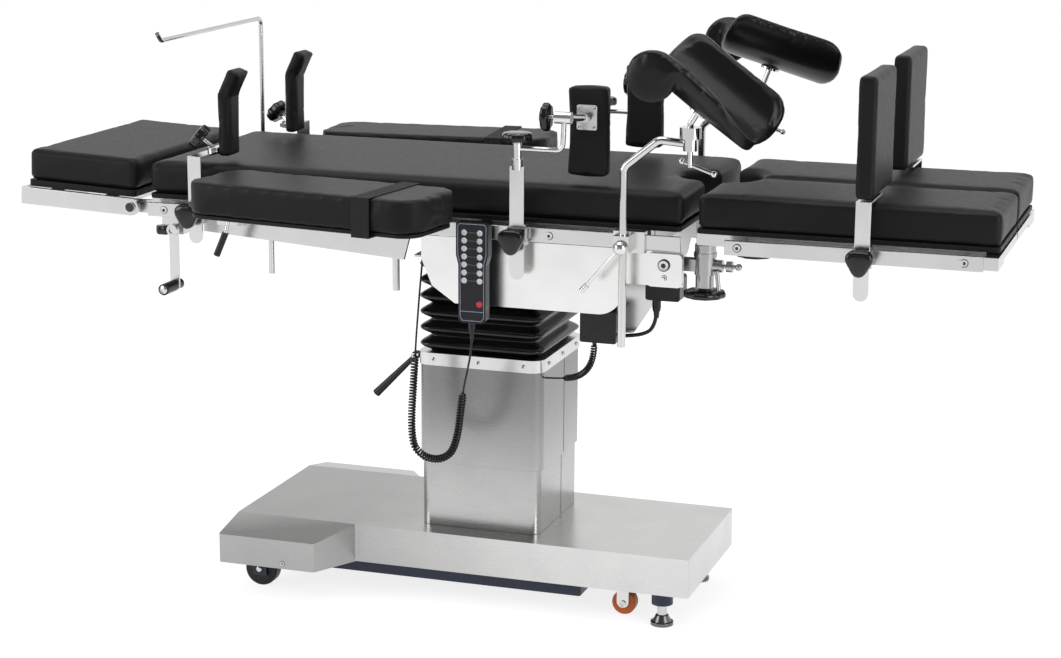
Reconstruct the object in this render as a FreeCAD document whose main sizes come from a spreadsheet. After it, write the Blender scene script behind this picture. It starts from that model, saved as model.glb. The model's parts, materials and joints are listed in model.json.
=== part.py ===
import FreeCAD, Part
import math
import os
import Sketcher

# Operating table, in millimetres.
# The origin is on the floor under the middle of the table. +X points to the foot end,
# +Y away from the side with the handset (the near side), and +Z up.
# Near pieces lie at negative Y, far pieces at positive Y.

# Driving dimensions
SIZES = {
    # base
    "base_head": -588, "base_foot": 426, "base_half": 192, "base_low": 76, "base_top": 159,
    "ear_half": 294, "ear_lip": 139, "ear_foot": -367, "ear_root": -312, "cover_wall": 4,
    "chassis_low": 42, "chassis_head": -400, "chassis_foot": 183, "chassis_half": 158,
    "deck_thick": 14,
    "head_wheel_x": -532, "head_wheel_y": 190, "head_wheel_radius": 37, "head_wheel_width": 28,
    "castor_x": 252, "castor_y": 115, "castor_radius": 26, "castor_width": 24, "castor_lift": 2,
    "castor_trail": 18, "axle_radius": 6, "swivel_radius": 8,
    "foot_x": 361, "foot_y": 152, "foot_pad_radius": 24, "foot_screw_radius": 10,
    "foot_socket_radius": 22.5, "foot_travel": 12,
    # column
    "column_x": -50, "column_long": 265, "column_half": 138, "column_corner": 22,
    "column_wall": 2.5, "sleeve_gap": 2.5, "sleeve_low": 300, "collar_low": 513, "collar_top": 540,
    "collar_proud": 3, "lower_cover_top": 424,
    "lift_radius": 60, "ram_radius": 42, "running_gap": 0.05,
    "bellows_top": 745, "bellows_half_long": 141, "bellows_half_wide": 150, "fold_depth": 25,
    "bellows_wall": 2.5, "folds": 6,
    # tilt mechanism
    "trend_z": 690, "roll_z": 735, "tilt_pin_radius": 14, "yoke_half": 45, "cheek_thick": 20,
    # table top
    "table_top": 930, "pad_thick": 66, "pad_half": 260, "pad_round": 13, "soft_gap": 0.3,
    "board_thick": 10, "board_inset": 5,
    "back_end": -753, "back_hinge_x": -143, "back_hinge_z": 838, "fold_reach": 95, "fold_back": 30,
    "seat_end": 416, "leg_start": 440, "leg_end": 1038, "leg_split": 4,
    "opening_radius": 66, "leg_opening_radius": 90,
    "frame_out": 250, "frame_wide": 25, "frame_low": 815, "hinge_pin_radius": 8,
    # side rails
    "rail_top": 849, "rail_high": 28.6, "rail_thick": 9.5, "rail_out": 284,
    # head section
    "head_hinge_x": -786, "head_hinge_z": 834, "head_long": 263, "head_gap": 7, "head_raise": 2.4,
    "head_bar_high": 37, "head_bar_thick": 10, "head_board_thick": 14,
    # seat side plates
    "plate_out": 262, "plate_thick": 4, "plate_low": 678, "end_plate_thick": 10,
    # leg joints
    "fold_x": 380, "fold_z": 785, "knuckle_x": 454, "knuckle_y": 222, "sleeve_radius": 21,
    # accessories
    "strap_wide": 30, "strap_thick": 5, "clamp_gap": 0.3,
    "arm_pivot_x": -545, "arm_pivot_far_x": -583, "arm_pivot_y": 310, "arm_long": 544,
    "arm_wide": 201, "arm_top": 932, "arm_thick": 66, "arm_back": 5, "arm_back_far": 19,
    "shoulder_x": -622, "shoulder_far_x": -636, "lateral_x": 85, "stirrup_x": 308,
    "foot_plate_x": 778, "screen_x": -741,
    "rod_radius": 8, "crutch_pin_radius": 6, "gutter_radius": 100, "gutter_wall": 24,
}
NEAR, FAR = -1, 1
SIDES = {"near": NEAR, "far": FAR}

doc = FreeCAD.newDocument("operating_table")
sheet = doc.addObject("Spreadsheet::Sheet", "Sizes")
for row, (alias, number) in enumerate(SIZES.items(), 1):
    sheet.set("A%d" % row, alias)
    sheet.set("B%d" % row, str(number))
    sheet.setAlias("B%d" % row, alias)
doc.recompute()


class Size(float):
    """A number that keeps the spreadsheet expression it was worked out from."""

    def __new__(cls, value, text):
        made = float.__new__(cls, value)
        made.text = text
        return made

    def __add__(self, other):
        return joined(self, "+", other, float(self) + float(other))

    def __radd__(self, other):
        return joined(other, "+", self, float(self) + float(other))

    def __sub__(self, other):
        return joined(self, "-", other, float(self) - float(other))

    def __rsub__(self, other):
        return joined(other, "-", self, float(other) - float(self))

    def __mul__(self, other):
        return joined(self, "*", other, float(self) * float(other))

    def __rmul__(self, other):
        return joined(other, "*", self, float(self) * float(other))

    def __truediv__(self, other):
        return joined(self, "/", other, float(self) / float(other))

    def __neg__(self):
        return joined(-1, "*", self, -float(self))


def written(number):
    """The text of a number inside an expression."""
    return number.text if isinstance(number, Size) else "%.6f" % number


def joined(a, sign, b, value):
    """Two numbers joined into one that keeps the expression of both."""
    return Size(value, "(%s %s %s)" % (written(a), sign, written(b)))


size = type("Sizes", (), {name: Size(number, "Sizes." + name) for name, number in SIZES.items()})


def bind(thing, path, number):
    """Binds a property to the expression of a size, or sets a plain number."""
    thing.setExpression(path, written(number))


def place(thing, x, y, z):
    """Binds the position of an object."""
    bind(thing, "Placement.Base.x", x)
    bind(thing, "Placement.Base.y", y)
    bind(thing, "Placement.Base.z", z)


# Plain shapes
def box(x, y, z):
    """A block between two corners, each given as a pair of limits in any order."""
    thing = doc.addObject("Part::Box", "block")
    lows = [min(pair) for pair in (x, y, z)]
    highs = [max(pair) for pair in (x, y, z)]
    for side, low, high in zip(("Length", "Width", "Height"), lows, highs):
        bind(thing, side, high - low)
    place(thing, *lows)
    return thing


TURNED = {
    "X": FreeCAD.Rotation(FreeCAD.Vector(0, 1, 0), 90),
    "Y": FreeCAD.Rotation(FreeCAD.Vector(1, 0, 0), -90),
    "Z": FreeCAD.Rotation(),
}


def cylinder(axis, centre, radius, span):
    """A cylinder along an axis: centre holds the two other coordinates, span its limits."""
    thing = doc.addObject("Part::Cylinder", "round")
    low, high = min(span), max(span)
    thing.Placement = FreeCAD.Placement(FreeCAD.Vector(), TURNED[axis])
    bind(thing, "Radius", radius)
    bind(thing, "Height", high - low)
    at = {"X": (low, *centre), "Y": (centre[0], low, centre[1]), "Z": (*centre, low)}[axis]
    place(thing, *at)
    return thing


def rod(start, end, radius):
    """A round rod between two points."""
    thing = doc.addObject("Part::Cylinder", "rod")
    a, b = FreeCAD.Vector(*start), FreeCAD.Vector(*end)
    turn = FreeCAD.Rotation(FreeCAD.Vector(0, 0, 1), b - a)
    thing.Placement = FreeCAD.Placement(a, turn)
    bind(thing, "Radius", radius)
    thing.Height = (b - a).Length
    return thing


def cone(start, end, first, last):
    """A tapered rod between two points."""
    thing = doc.addObject("Part::Cone", "taper")
    a, b = FreeCAD.Vector(*start), FreeCAD.Vector(*end)
    turn = FreeCAD.Rotation(FreeCAD.Vector(0, 0, 1), b - a)
    thing.Placement = FreeCAD.Placement(a, turn)
    bind(thing, "Radius1", first)
    bind(thing, "Radius2", last)
    thing.Height = (b - a).Length
    return thing


def ball(centre, radius):
    """A ball."""
    thing = doc.addObject("Part::Sphere", "ball")
    bind(thing, "Radius", radius)
    place(thing, *centre)
    return thing


def cut(base, *tools):
    """The base without the tools."""
    thing = doc.addObject("Part::Cut", "cut")
    thing.Base = base
    thing.Tool = tools[0] if len(tools) == 1 else fuse(*tools)
    return thing


def fuse(*things):
    """Several shapes joined into one solid."""
    thing = doc.addObject("Part::MultiFuse", "joined")
    thing.Shapes = list(things)
    return thing


def node(name, *things):
    """A sub-part of the table, made of one or more solids; its label names its file."""
    thing = doc.addObject("Part::Compound", name)
    thing.Links = list(things)
    thing.Label = name
    return thing


def turned(thing, centre, axis, degrees):
    """Turns a finished object about an axis through a point."""
    turn = FreeCAD.Rotation(FreeCAD.Vector(*axis), degrees)
    around = FreeCAD.Vector(*centre)
    thing.Placement = FreeCAD.Placement(around - turn.multVec(around), turn)
    return thing


# Plates and blocks from a sketched outline
PLANES = {"XY": "XY_Plane", "XZ": "XZ_Plane", "YZ": "YZ_Plane"}


def edges_along(shape, direction):
    """The names of the straight edges along a direction, or of every edge."""
    names = []
    for number, edge in enumerate(shape.Edges, 1):
        ends = [vertex.Point for vertex in edge.Vertexes]
        if direction is None:
            names.append("Edge%d" % number)
        elif len(ends) == 2 and abs((ends[1] - ends[0]).normalize().dot(direction)) > 0.999:
            names.append("Edge%d" % number)
    return names


def slab(plane, outline, span, corner=None, rim=None):
    """A body padded from an outline of bound points; corner rounds the edges along the pad,
    rim rounds every edge that is left."""
    body = doc.addObject("PartDesign::Body", "body")
    sketch = body.newObject("Sketcher::SketchObject", "outline")
    origin = [f for f in body.Origin.OriginFeatures if f.Role == PLANES[plane]][0]
    sketch.AttachmentSupport = [(origin, "")]
    sketch.MapMode = "FlatFace"
    low, high = min(span), max(span)
    bind(sketch, "AttachmentOffset.Base.z", -high if plane == "XZ" else low)
    points = [FreeCAD.Vector(float(u), float(v), 0) for u, v in outline]
    count = len(points)
    for first in range(count):
        sketch.addGeometry(Part.LineSegment(points[first], points[(first + 1) % count]))
    for first in range(count):
        sketch.addConstraint(Sketcher.Constraint("Coincident", first, 2, (first + 1) % count, 1))
    for first, (u, v) in enumerate(outline):
        for kind, number in (("DistanceX", u), ("DistanceY", v)):
            index = sketch.addConstraint(Sketcher.Constraint(kind, -1, 1, first, 1, float(number)))
            if isinstance(number, Size):
                sketch.setExpression("Constraints[%d]" % index, number.text)
    pad = body.newObject("PartDesign::Pad", "pad")
    pad.Profile = sketch
    bind(pad, "Length", high - low)
    doc.recompute([sketch, pad, body])
    normal = {"XY": (0, 0, 1), "XZ": (0, 1, 0), "YZ": (1, 0, 0)}[plane]
    for radius, direction in ((corner, FreeCAD.Vector(*normal)), (rim, None)):
        if radius is not None:
            base = body.Tip
            names = edges_along(base.Shape, direction)
            if direction is None:
                names = rim_edges(base.Shape, FreeCAD.Vector(*normal))
            rounding = body.newObject("PartDesign::Fillet", "rounding")
            rounding.Base = (base, names)
            bind(rounding, "Radius", radius)
            doc.recompute([rounding, body])
    return body


def rim_edges(shape, normal):
    """The names of the edges that bound the two faces across the normal."""
    names = []
    reach = [vertex.Point.dot(normal) for vertex in shape.Vertexes]
    low, high = min(reach), max(reach)
    for number, edge in enumerate(shape.Edges, 1):
        levels = [vertex.Point.dot(normal) for vertex in edge.Vertexes]
        if max(levels) - min(levels) < 0.01 and (levels[0] < low + 0.01 or levels[0] > high - 0.01):
            names.append("Edge%d" % number)
    return names


def rectangle(x, y):
    """The four corners of a rectangle."""
    return [(min(x), min(y)), (max(x), min(y)), (max(x), max(y)), (min(x), max(y))]


# Bent rods and cords
def bent_route(points, radius=None):
    """A wire of straight runs joined by tangent arcs, and the smallest arc radius used."""
    at = [FreeCAD.Vector(*point) for point in points]
    runs = [at[i + 1] - at[i] for i in range(len(at) - 1)]
    edges, start, used = [], at[0], []
    for i in range(1, len(at) - 1):
        before, after = runs[i - 1], runs[i]
        half = before.getAngle(after) / 2
        bend = 0.45 * min(before.Length, after.Length) / math.tan(half)
        if radius is not None:
            bend = min(bend, radius)
        used.append(bend)
        reach = bend * math.tan(half)
        into = at[i] - FreeCAD.Vector(before).normalize() * reach
        out = at[i] + FreeCAD.Vector(after).normalize() * reach
        inward = (FreeCAD.Vector(after).normalize() - FreeCAD.Vector(before).normalize()).normalize()
        middle = at[i] + inward * (bend / math.cos(half) - bend)
        edges.append(Part.LineSegment(start, into).toShape())
        edges.append(Part.Arc(into, middle, out).toShape())
        start = out
    edges.append(Part.LineSegment(start, at[-1]).toShape())
    return Part.Wire(edges), min(used, default=0)


def bent_rod(points, thickness, bend=None, shown=None):
    """A round rod or cord that follows a route; thickness is its radius."""
    wire, least = bent_route(points, bend)
    first = wire.Edges[0]
    way = first.tangentAt(first.FirstParameter)
    circle = Part.Wire(Part.makeCircle(float(thickness), first.Vertexes[0].Point, way))
    thing = doc.addObject("Part::Feature", "bent")
    thing.Shape = wire.makePipeShell([circle], True, False)
    thing.Placement = FreeCAD.Placement()
    if shown:
        ideal = math.pi * float(thickness) ** 2 * wire.Length
        print("%s: smallest arc %.1f mm, volume %.3f of section times length"
              % (shown, least, thing.Shape.Volume / ideal))
    return thing


# Levels of the table top that the sections share
pad_low = size.table_top - size.pad_thick
board_top = pad_low - size.soft_gap
board_low = board_top - size.board_thick
board_half = size.pad_half - size.board_inset
rail_low = size.rail_top - size.rail_high
rail_in = size.rail_out - size.rail_thick
frame_in = size.frame_out - size.frame_wide
column_head = size.column_x - size.column_long / 2
column_foot = size.column_x + size.column_long / 2


# Base
def outline_of_base(inset):
    """The T-shaped plan of the base cover, moved in by a wall."""
    side = [
        (size.base_head + inset, size.ear_half - inset),
        (size.ear_foot - inset / 2, size.ear_half - inset),
        (size.ear_root - inset / 2, size.base_half - inset),
        (size.base_foot - inset, size.base_half - inset),
    ]
    return [(x, -y) for x, y in side] + [(x, y) for x, y in reversed(side)]


def make_base():
    """Cover, chassis with the axle plates and foot sockets, wheels and feet."""
    cavity_top = size.ear_lip - size.cover_wall
    outer = slab("XY", outline_of_base(0), (size.base_low, size.base_top), corner=5)
    hollow = slab("XY", outline_of_base(size.cover_wall), (size.base_low - 10, cavity_top))
    beyond = size.ear_half + 10
    drop = size.base_top - (size.base_top - size.ear_lip) * (beyond - size.base_half) / (
        size.ear_half - size.base_half
    )
    ramps = [
        slab("YZ",
             [(side * size.base_half, size.base_top), (side * beyond, size.base_top + 10),
              (side * beyond, drop)],
             (size.base_head - 10, size.ear_root + 30))
        for side in (NEAR, FAR)
    ]
    shaft_hole = cylinder("Z", (size.column_x, 0), size.lift_radius + 2,
                          (cavity_top - 5, size.base_top + 5))
    node("base_cover", cut(outer, hollow, *ramps, shaft_hole))

    deck_low = cavity_top - size.deck_thick
    deck_half = size.base_half - 12
    deck = box((size.base_head + 20, size.base_foot - 20), (-deck_half, deck_half), (deck_low, cavity_top))
    keel = slab("XY",
                rectangle((size.chassis_head, size.chassis_foot), (-size.chassis_half, size.chassis_half)),
                (size.chassis_low, deck_low), corner=6)
    holes = [cylinder("Z", (size.castor_x, side * size.castor_y), size.swivel_radius + size.running_gap,
                      (40, cavity_top + 1)) for side in (NEAR, FAR)]
    welded = [keel]
    for side in (NEAR, FAR):
        welded.append(box((size.base_head + 20, size.ear_foot - 10),
                          (side * deck_half, side * (size.ear_half - 12)), (deck_low, cavity_top)))
        wheel_y = side * size.head_wheel_y
        plates = []
        for face in (-1, 1):
            inner = wheel_y + face * (size.head_wheel_width / 2 + 2)
            plates.append(box((size.head_wheel_x - 16, size.head_wheel_x + 16), (inner, inner + face * 5),
                              (size.head_wheel_radius - 12, deck_low)))
        axle = cylinder("Y", (size.head_wheel_x, size.head_wheel_radius), size.axle_radius,
                        (wheel_y - size.head_wheel_width / 2 - 8, wheel_y + size.head_wheel_width / 2 + 8))
        welded.append(fuse(*plates, axle))
        screw = (size.foot_x, side * size.foot_y)
        bore = size.foot_screw_radius + size.running_gap
        holes.append(cylinder("Z", screw, bore, (40, cavity_top + 1)))
        welded.append(cut(cylinder("Z", screw, size.foot_socket_radius, (46, deck_low)),
                          cylinder("Z", screw, bore, (40, cavity_top + 1))))
    node("base_chassis", cut(deck, *holes), *welded)

    feet = []
    for side in (NEAR, FAR):
        centre = (size.foot_x, side * size.foot_y)
        feet.append(fuse(
            cylinder("Z", centre, size.foot_pad_radius, (0, 8)),
            cone((*centre, 8), (*centre, 22), 20, 13),
            cylinder("Z", centre, size.foot_screw_radius, (20, cavity_top - 2 - size.foot_travel)),
        ))
    node("brake_feet", *feet)

    for word, side in SIDES.items():
        wheel_y = side * size.head_wheel_y
        half = size.head_wheel_width / 2
        wheel = slab("XZ", round_outline((size.head_wheel_x, size.head_wheel_radius), size.head_wheel_radius),
                     (wheel_y - half, wheel_y + half), rim=4)
        bore = cylinder("Y", (size.head_wheel_x, size.head_wheel_radius),
                        size.axle_radius + size.running_gap, (wheel_y - half - 1, wheel_y + half + 1))
        node("head_wheel_" + word, cut(wheel, bore))
        make_castor(word, side, deck_low)


def round_outline(centre, radius, sides=32):
    """The corners of a many-sided wheel, with one corner at the bottom."""
    turns = [2 * math.pi * n / sides - math.pi / 2 for n in range(sides)]
    return [(centre[0] + radius * math.cos(t), centre[1] + radius * math.sin(t)) for t in turns]


def make_castor(word, side, deck_low):
    """A swivelling castor: its fork turns in the chassis and its wheel in the fork."""
    centre = (size.castor_x, side * size.castor_y)
    axle_x = size.castor_x + size.castor_trail
    axle_z = size.castor_lift + size.castor_radius
    half = size.castor_width / 2
    crown = axle_z + size.castor_radius + 4
    cheeks = [
        box((axle_x - 14, axle_x + 12), (centre[1] + face * (half + 1.5), centre[1] + face * (half + 4.5)),
            (axle_z - 10, crown + 4))
        for face in (-1, 1)
    ]
    fork = fuse(
        cylinder("Z", centre, 22, (crown, crown + 8)),
        box((centre[0], axle_x + 12), (centre[1] - half - 4.5, centre[1] + half + 4.5), (crown, crown + 4)),
        *cheeks,
        cylinder("Z", centre, 16, (crown + 8, deck_low - 0.3)),
        cylinder("Z", centre, size.swivel_radius, (crown + 8, deck_low + size.deck_thick - 1)),
        cylinder("Y", (axle_x, axle_z), size.axle_radius, (centre[1] - half - 6, centre[1] + half + 6)),
    )
    node("castor_fork_" + word, fork)
    wheel = slab("XZ", round_outline((axle_x, axle_z), size.castor_radius),
                 (centre[1] - half, centre[1] + half), rim=3)
    bore = cylinder("Y", (axle_x, axle_z), size.axle_radius + size.running_gap,
                    (centre[1] - half - 1, centre[1] + half + 1))
    node("castor_wheel_" + word, cut(wheel, bore))


# Column
def ring(grow, levels, wall, corner):
    """A rectangular tube around the column, grown out from the lower cover."""
    outer_x = (column_head - grow, column_foot + grow)
    outer_y = (-size.column_half - grow, size.column_half + grow)
    outer = slab("XY", rectangle(outer_x, outer_y), levels, corner=corner)
    inner_x = (column_head - grow + wall, column_foot + grow - wall)
    inner_y = (-size.column_half - grow + wall, size.column_half + grow - wall)
    beyond = (min(levels) - 1, max(levels) + 1)
    return cut(outer, slab("XY", rectangle(inner_x, inner_y), beyond, corner=corner - wall))


def make_column():
    """Lower cover and lift cylinder on the base, and the sleeve, ram and head that rise."""
    cavity_top = size.ear_lip - size.cover_wall
    node("column_lower_cover",
         ring(0, (size.base_top, size.lower_cover_top), size.column_wall, size.column_corner))
    barrel = cylinder("Z", (size.column_x, 0), size.lift_radius, (cavity_top, size.lower_cover_top - 10))
    bore = cylinder("Z", (size.column_x, 0), size.ram_radius + size.running_gap,
                    (cavity_top + 6, size.lower_cover_top))
    node("lift_cylinder", cut(barrel, bore))

    wall = size.column_wall
    grow = size.sleeve_gap + wall
    sleeve = ring(grow, (size.sleeve_low, size.collar_low), wall, size.column_corner + grow)
    collar_grow = grow + size.collar_proud
    collar = ring(collar_grow, (size.collar_low, size.collar_top), wall + size.collar_proud,
                  size.column_corner + collar_grow)
    lid = slab("XY", rectangle((column_head - size.sleeve_gap, column_foot + size.sleeve_gap),
                               (-size.column_half - size.sleeve_gap, size.column_half + size.sleeve_gap)),
               (size.collar_top - 10, size.collar_top), corner=size.column_corner)

    cheek_in = size.yoke_half + 3
    cheeks = [
        fuse(box((size.column_x - 38, size.column_x + 38),
                 (side * cheek_in, side * (cheek_in + size.cheek_thick)), (size.collar_top, size.trend_z)),
             cylinder("Y", (size.column_x, size.trend_z), 30,
                      (side * cheek_in, side * (cheek_in + size.cheek_thick))))
        for side in (NEAR, FAR)
    ]
    foot = box((size.column_x - 60, size.column_x + 60), (-cheek_in - 40, cheek_in + 40),
               (size.collar_top, size.collar_top + 12))
    pin = cylinder("Y", (size.column_x, size.trend_z), size.tilt_pin_radius,
                   (-cheek_in - size.cheek_thick, cheek_in + size.cheek_thick))
    head = fuse(*cheeks, foot, pin)
    ram = cylinder("Z", (size.column_x, 0), size.ram_radius, (size.sleeve_low - 55, size.collar_top - 10))
    node("lift_ram", ram, head)

    half = size.yoke_half
    block = box((size.column_x - half, size.column_x + half), (-half, half),
                (size.trend_z - 26, size.roll_z + 22))
    pin_hole = cylinder("Y", (size.column_x, size.trend_z), size.tilt_pin_radius + size.running_gap,
                        (-half - 1, half + 1))
    roll_pin = cylinder("X", (0, size.roll_z), size.tilt_pin_radius,
                        (size.column_x - half - 32, size.column_x + half + 32))
    node("tilt_yoke", fuse(cut(block, pin_hole), roll_pin))

    # manual lever at the head side of the collar
    hub = (column_head - collar_grow - 9, -118, size.collar_top - 14)
    grip_end = (hub[0] - 92, hub[1], hub[2] - 92)
    boss = cylinder("Y", (hub[0], hub[2]), 5, (hub[1] - 12, hub[1] + 12))
    lug_faces = [(hub[1] - 12, hub[1] - 7), (hub[1] + 7, hub[1] + 12)]
    lugs = [box((hub[0] - 6, column_head - collar_grow), pair,
                (hub[2] - 6, hub[2] + 6)) for pair in lug_faces]
    node("column_upper_cover", fuse(sleeve, collar, lid, boss, *lugs))
    eye = cylinder("Y", (hub[0], hub[2]), 9, (hub[1] - 6.5, hub[1] + 6.5))
    arm = cone(tuple(h + (g - h) * 0.04 for h, g in zip(hub, grip_end)), grip_end, 5.5, 9)
    hole = cylinder("Y", (hub[0], hub[2]), 5 + size.running_gap, (hub[1] - 10, hub[1] + 10))
    node("hand_lever", cut(fuse(eye, arm), hole))


def make_bellows():
    """The folded rubber boot between the collar and the seat."""
    low = size.collar_top + size.soft_gap
    step = (size.bellows_top - low) / (2 * size.folds)

    def level(number, inset):
        peak = number % 2 == 1
        shrink = (0 if peak else size.fold_depth) + inset
        long, wide = size.bellows_half_long - shrink, size.bellows_half_wide - shrink
        corner = 30 - shrink * 0.5
        z = low + step * number
        return rounded_wire(size.column_x, long, wide, corner, z)

    count = int(2 * size.folds) + 1
    outer = Part.makeLoft([level(n, 0) for n in range(count)], True, True)
    inner = Part.makeLoft([level(n, size.bellows_wall) for n in range(count)], True, True)
    thing = doc.addObject("Part::Feature", "bellows")
    thing.Shape = outer.cut(inner)
    thing.Placement = FreeCAD.Placement()
    thing.Label = "bellows_skin"
    node("bellows", thing)


def rounded_wire(middle, long, wide, corner, z):
    """A level rectangle with rounded corners, about a middle on the X axis."""
    quarter = math.sqrt(0.5)
    edges, last = [], None
    for sx, sy in ((1, -1), (1, 1), (-1, 1), (-1, -1)):
        cx, cy = middle + sx * (long - corner), sy * (wide - corner)
        first = (cx, cy + sy * corner) if sx * sy < 0 else (cx + sx * corner, cy)
        second = (cx + sx * corner, cy) if sx * sy < 0 else (cx, cy + sy * corner)
        way = (cx + sx * corner * quarter, cy + sy * corner * quarter)
        a, b, c = (FreeCAD.Vector(p[0], p[1], z) for p in (first, way, second))
        if last is not None:
            edges.append(Part.LineSegment(last, a).toShape())
        else:
            beginning = a
        edges.append(Part.Arc(a, b, c).toShape())
        last = c
    edges.append(Part.LineSegment(last, beginning).toShape())
    return Part.Wire(edges)


# Seat section
def side_members(head, foot):
    """The two box members along a section, one at each side."""
    return [box((head, foot), (side * frame_in, side * size.frame_out), (size.frame_low, board_low))
            for side in (NEAR, FAR)]


def rails(head, foot, posts):
    """Side rails of a section, with the round spacers that hold them off the frame."""
    things = []
    for side in (NEAR, FAR):
        bar = slab("XZ", rectangle((head, foot), (rail_low, size.rail_top)),
                   (side * rail_in, side * size.rail_out), rim=1)
        middle = (rail_low + size.rail_top) / 2
        spacers = [cylinder("Y", (x, middle), 9, (side * size.frame_out, side * rail_in)) for x in posts]
        heads = [cylinder("Y", (x, middle), 7.5, (side * size.rail_out, side * (size.rail_out + 1.5)))
                 for x in posts]
        sockets = [cylinder("Y", (x, middle), 3.5, (side * (size.rail_out + 0.5), side * (size.rail_out + 2)))
                   for x in posts]
        things.append(cut(fuse(bar, *heads), *sockets))
        things += spacers
    return things


def make_seat():
    """Frame, polished side plates, rails, board, cushion, control boxes and handset."""
    head, foot = size.back_hinge_x + 17, size.seat_end - 66
    members = side_members(head, foot)
    lugs = []
    for side in (NEAR, FAR):
        lug = (side * (frame_in - 8), side * frame_in)
        lugs.append(fuse(
            box((size.back_hinge_x, head + 30), lug, (size.back_hinge_z - 14, size.back_hinge_z + 14)),
            cylinder("Y", (size.back_hinge_x, size.back_hinge_z), 14, lug),
            cylinder("Y", (size.back_hinge_x, size.back_hinge_z), size.hinge_pin_radius,
                     (lug[0], side * (frame_in + 10))),
        ))
    deck = box((head, foot), (-frame_in, frame_in), (size.frame_low, size.frame_low + 6))
    cross = [box((x, x + 24), (-frame_in + 8, frame_in - 8), (size.frame_low + 6, board_low))
             for x in (head, size.column_x + 130, foot - 24)]
    half = size.yoke_half
    hangers = []
    for face in (-1, 1):
        inner = size.column_x + face * (half + 3)
        bore = cylinder("X", (0, size.roll_z), size.tilt_pin_radius + size.running_gap,
                        (inner - face, inner + face * 25))
        hangers.append(cut(fuse(box((inner, inner + face * 24), (-40, 40), (size.roll_z, size.frame_low)),
                                cylinder("X", (0, size.roll_z), 27, (inner, inner + face * 24))), bore))
    # flange that the boot hangs from, held by two stays below the deck
    level = (size.bellows_top + size.soft_gap, size.bellows_top + 5)
    flange = [box((size.column_x - size.bellows_half_long, size.column_x + size.bellows_half_long),
                  (side * 85, side * size.bellows_half_wide), level) for side in (NEAR, FAR)]
    flange += [box((size.column_x + way * 95, size.column_x + way * size.bellows_half_long), (-85, 85), level)
               for way in (-1, 1)]
    stays = [box((head, size.column_x + 130), (side * 120, side * 126),
                 (size.bellows_top + 5, size.frame_low)) for side in (NEAR, FAR)]
    sides = [box((x, x + 10), (side * frame_in, side * (size.plate_out - size.plate_thick)),
                 (size.plate_low + 82, size.frame_low))
             for side in (NEAR, FAR) for x in (head + 10, foot - 30)]
    under = slab("XZ", [(size.column_x + 222, size.frame_low), (size.column_x + 222, 660),
                        (size.column_x + 250, 610), (size.column_x + 330, 610),
                        (size.column_x + 374, 680), (size.column_x + 374, size.frame_low)],
                 (-118, -114), corner=12)
    node("seat_frame", *members, *lugs, deck, *cross, *hangers, *flange, *stays, *sides, under)

    plates = []
    fold = (size.fold_x, size.fold_z)
    for side in (NEAR, FAR):
        outer, inner = side * size.plate_out, side * (size.plate_out - size.plate_thick)
        seam = size.seat_end - 116
        outline = [
            (size.back_hinge_x + 11, size.frame_low), (size.back_hinge_x + 11, size.frame_low - 48),
            (size.back_hinge_x + 34, size.frame_low - 103), (size.back_hinge_x + 84, size.plate_low),
            (size.seat_end - 146, size.plate_low), (size.seat_end - 122, size.plate_low + 30),
            (seam, size.fold_z - 42), (seam, size.frame_low),
        ]
        plates.append(slab("XZ", outline, (outer, inner)))
        tail = slab("XZ", rectangle((seam, size.seat_end + 4), (size.fold_z - 40, size.frame_low)),
                    (outer, inner))
        step = slab("XZ", rectangle((size.seat_end - 68, size.seat_end + 4),
                                    (size.fold_z - 40, size.frame_low - 3)),
                    (outer, outer + side * size.end_plate_thick), corner=10)
        bolt = [cylinder("Y", fold, 12, (outer, side * (size.plate_out + 13))),
                cylinder("Y", (size.fold_x + 1, size.fold_z - 25), 4.5,
                         (outer, side * (size.plate_out + 12)))]
        plates.append(fuse(tail, step, *bolt))
        plates.append(cylinder("Y", fold, size.hinge_pin_radius, (side * 205, inner)))
    node("seat_side_plates", *plates)

    node("seat_rails", *rails(size.back_hinge_x + 22, size.seat_end + 2,
                              (size.back_hinge_x + 60, size.column_x + 198)))
    opening = cylinder("Z", (size.seat_end, 0), size.opening_radius, (board_low - 5, size.table_top + 5))
    board = slab("XY", rectangle((size.back_hinge_x + 28, size.seat_end - 6), (-board_half, board_half)),
                 (board_low, board_top), corner=10)
    node("seat_board", cut(board, opening))
    cushion = slab("XY", rectangle((size.back_hinge_x + size.fold_reach, size.seat_end),
                                   (-size.pad_half, size.pad_half)),
                   (pad_low, size.table_top), rim=size.pad_round)
    cushion_opening = cylinder("Z", (size.seat_end, 0), size.opening_radius,
                               (pad_low - 5, size.table_top + 5))
    node("seat_pad", cut(cushion, cushion_opening))
    strip = slab("XY", rectangle((size.back_hinge_x - size.fold_back + size.soft_gap,
                                  size.back_hinge_x + size.fold_reach - size.soft_gap),
                                 (-size.pad_half, size.pad_half)),
                 (pad_low, size.table_top), rim=size.pad_round)
    node("fold_pad", strip)
    make_control_boxes()
    make_handset()


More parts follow.
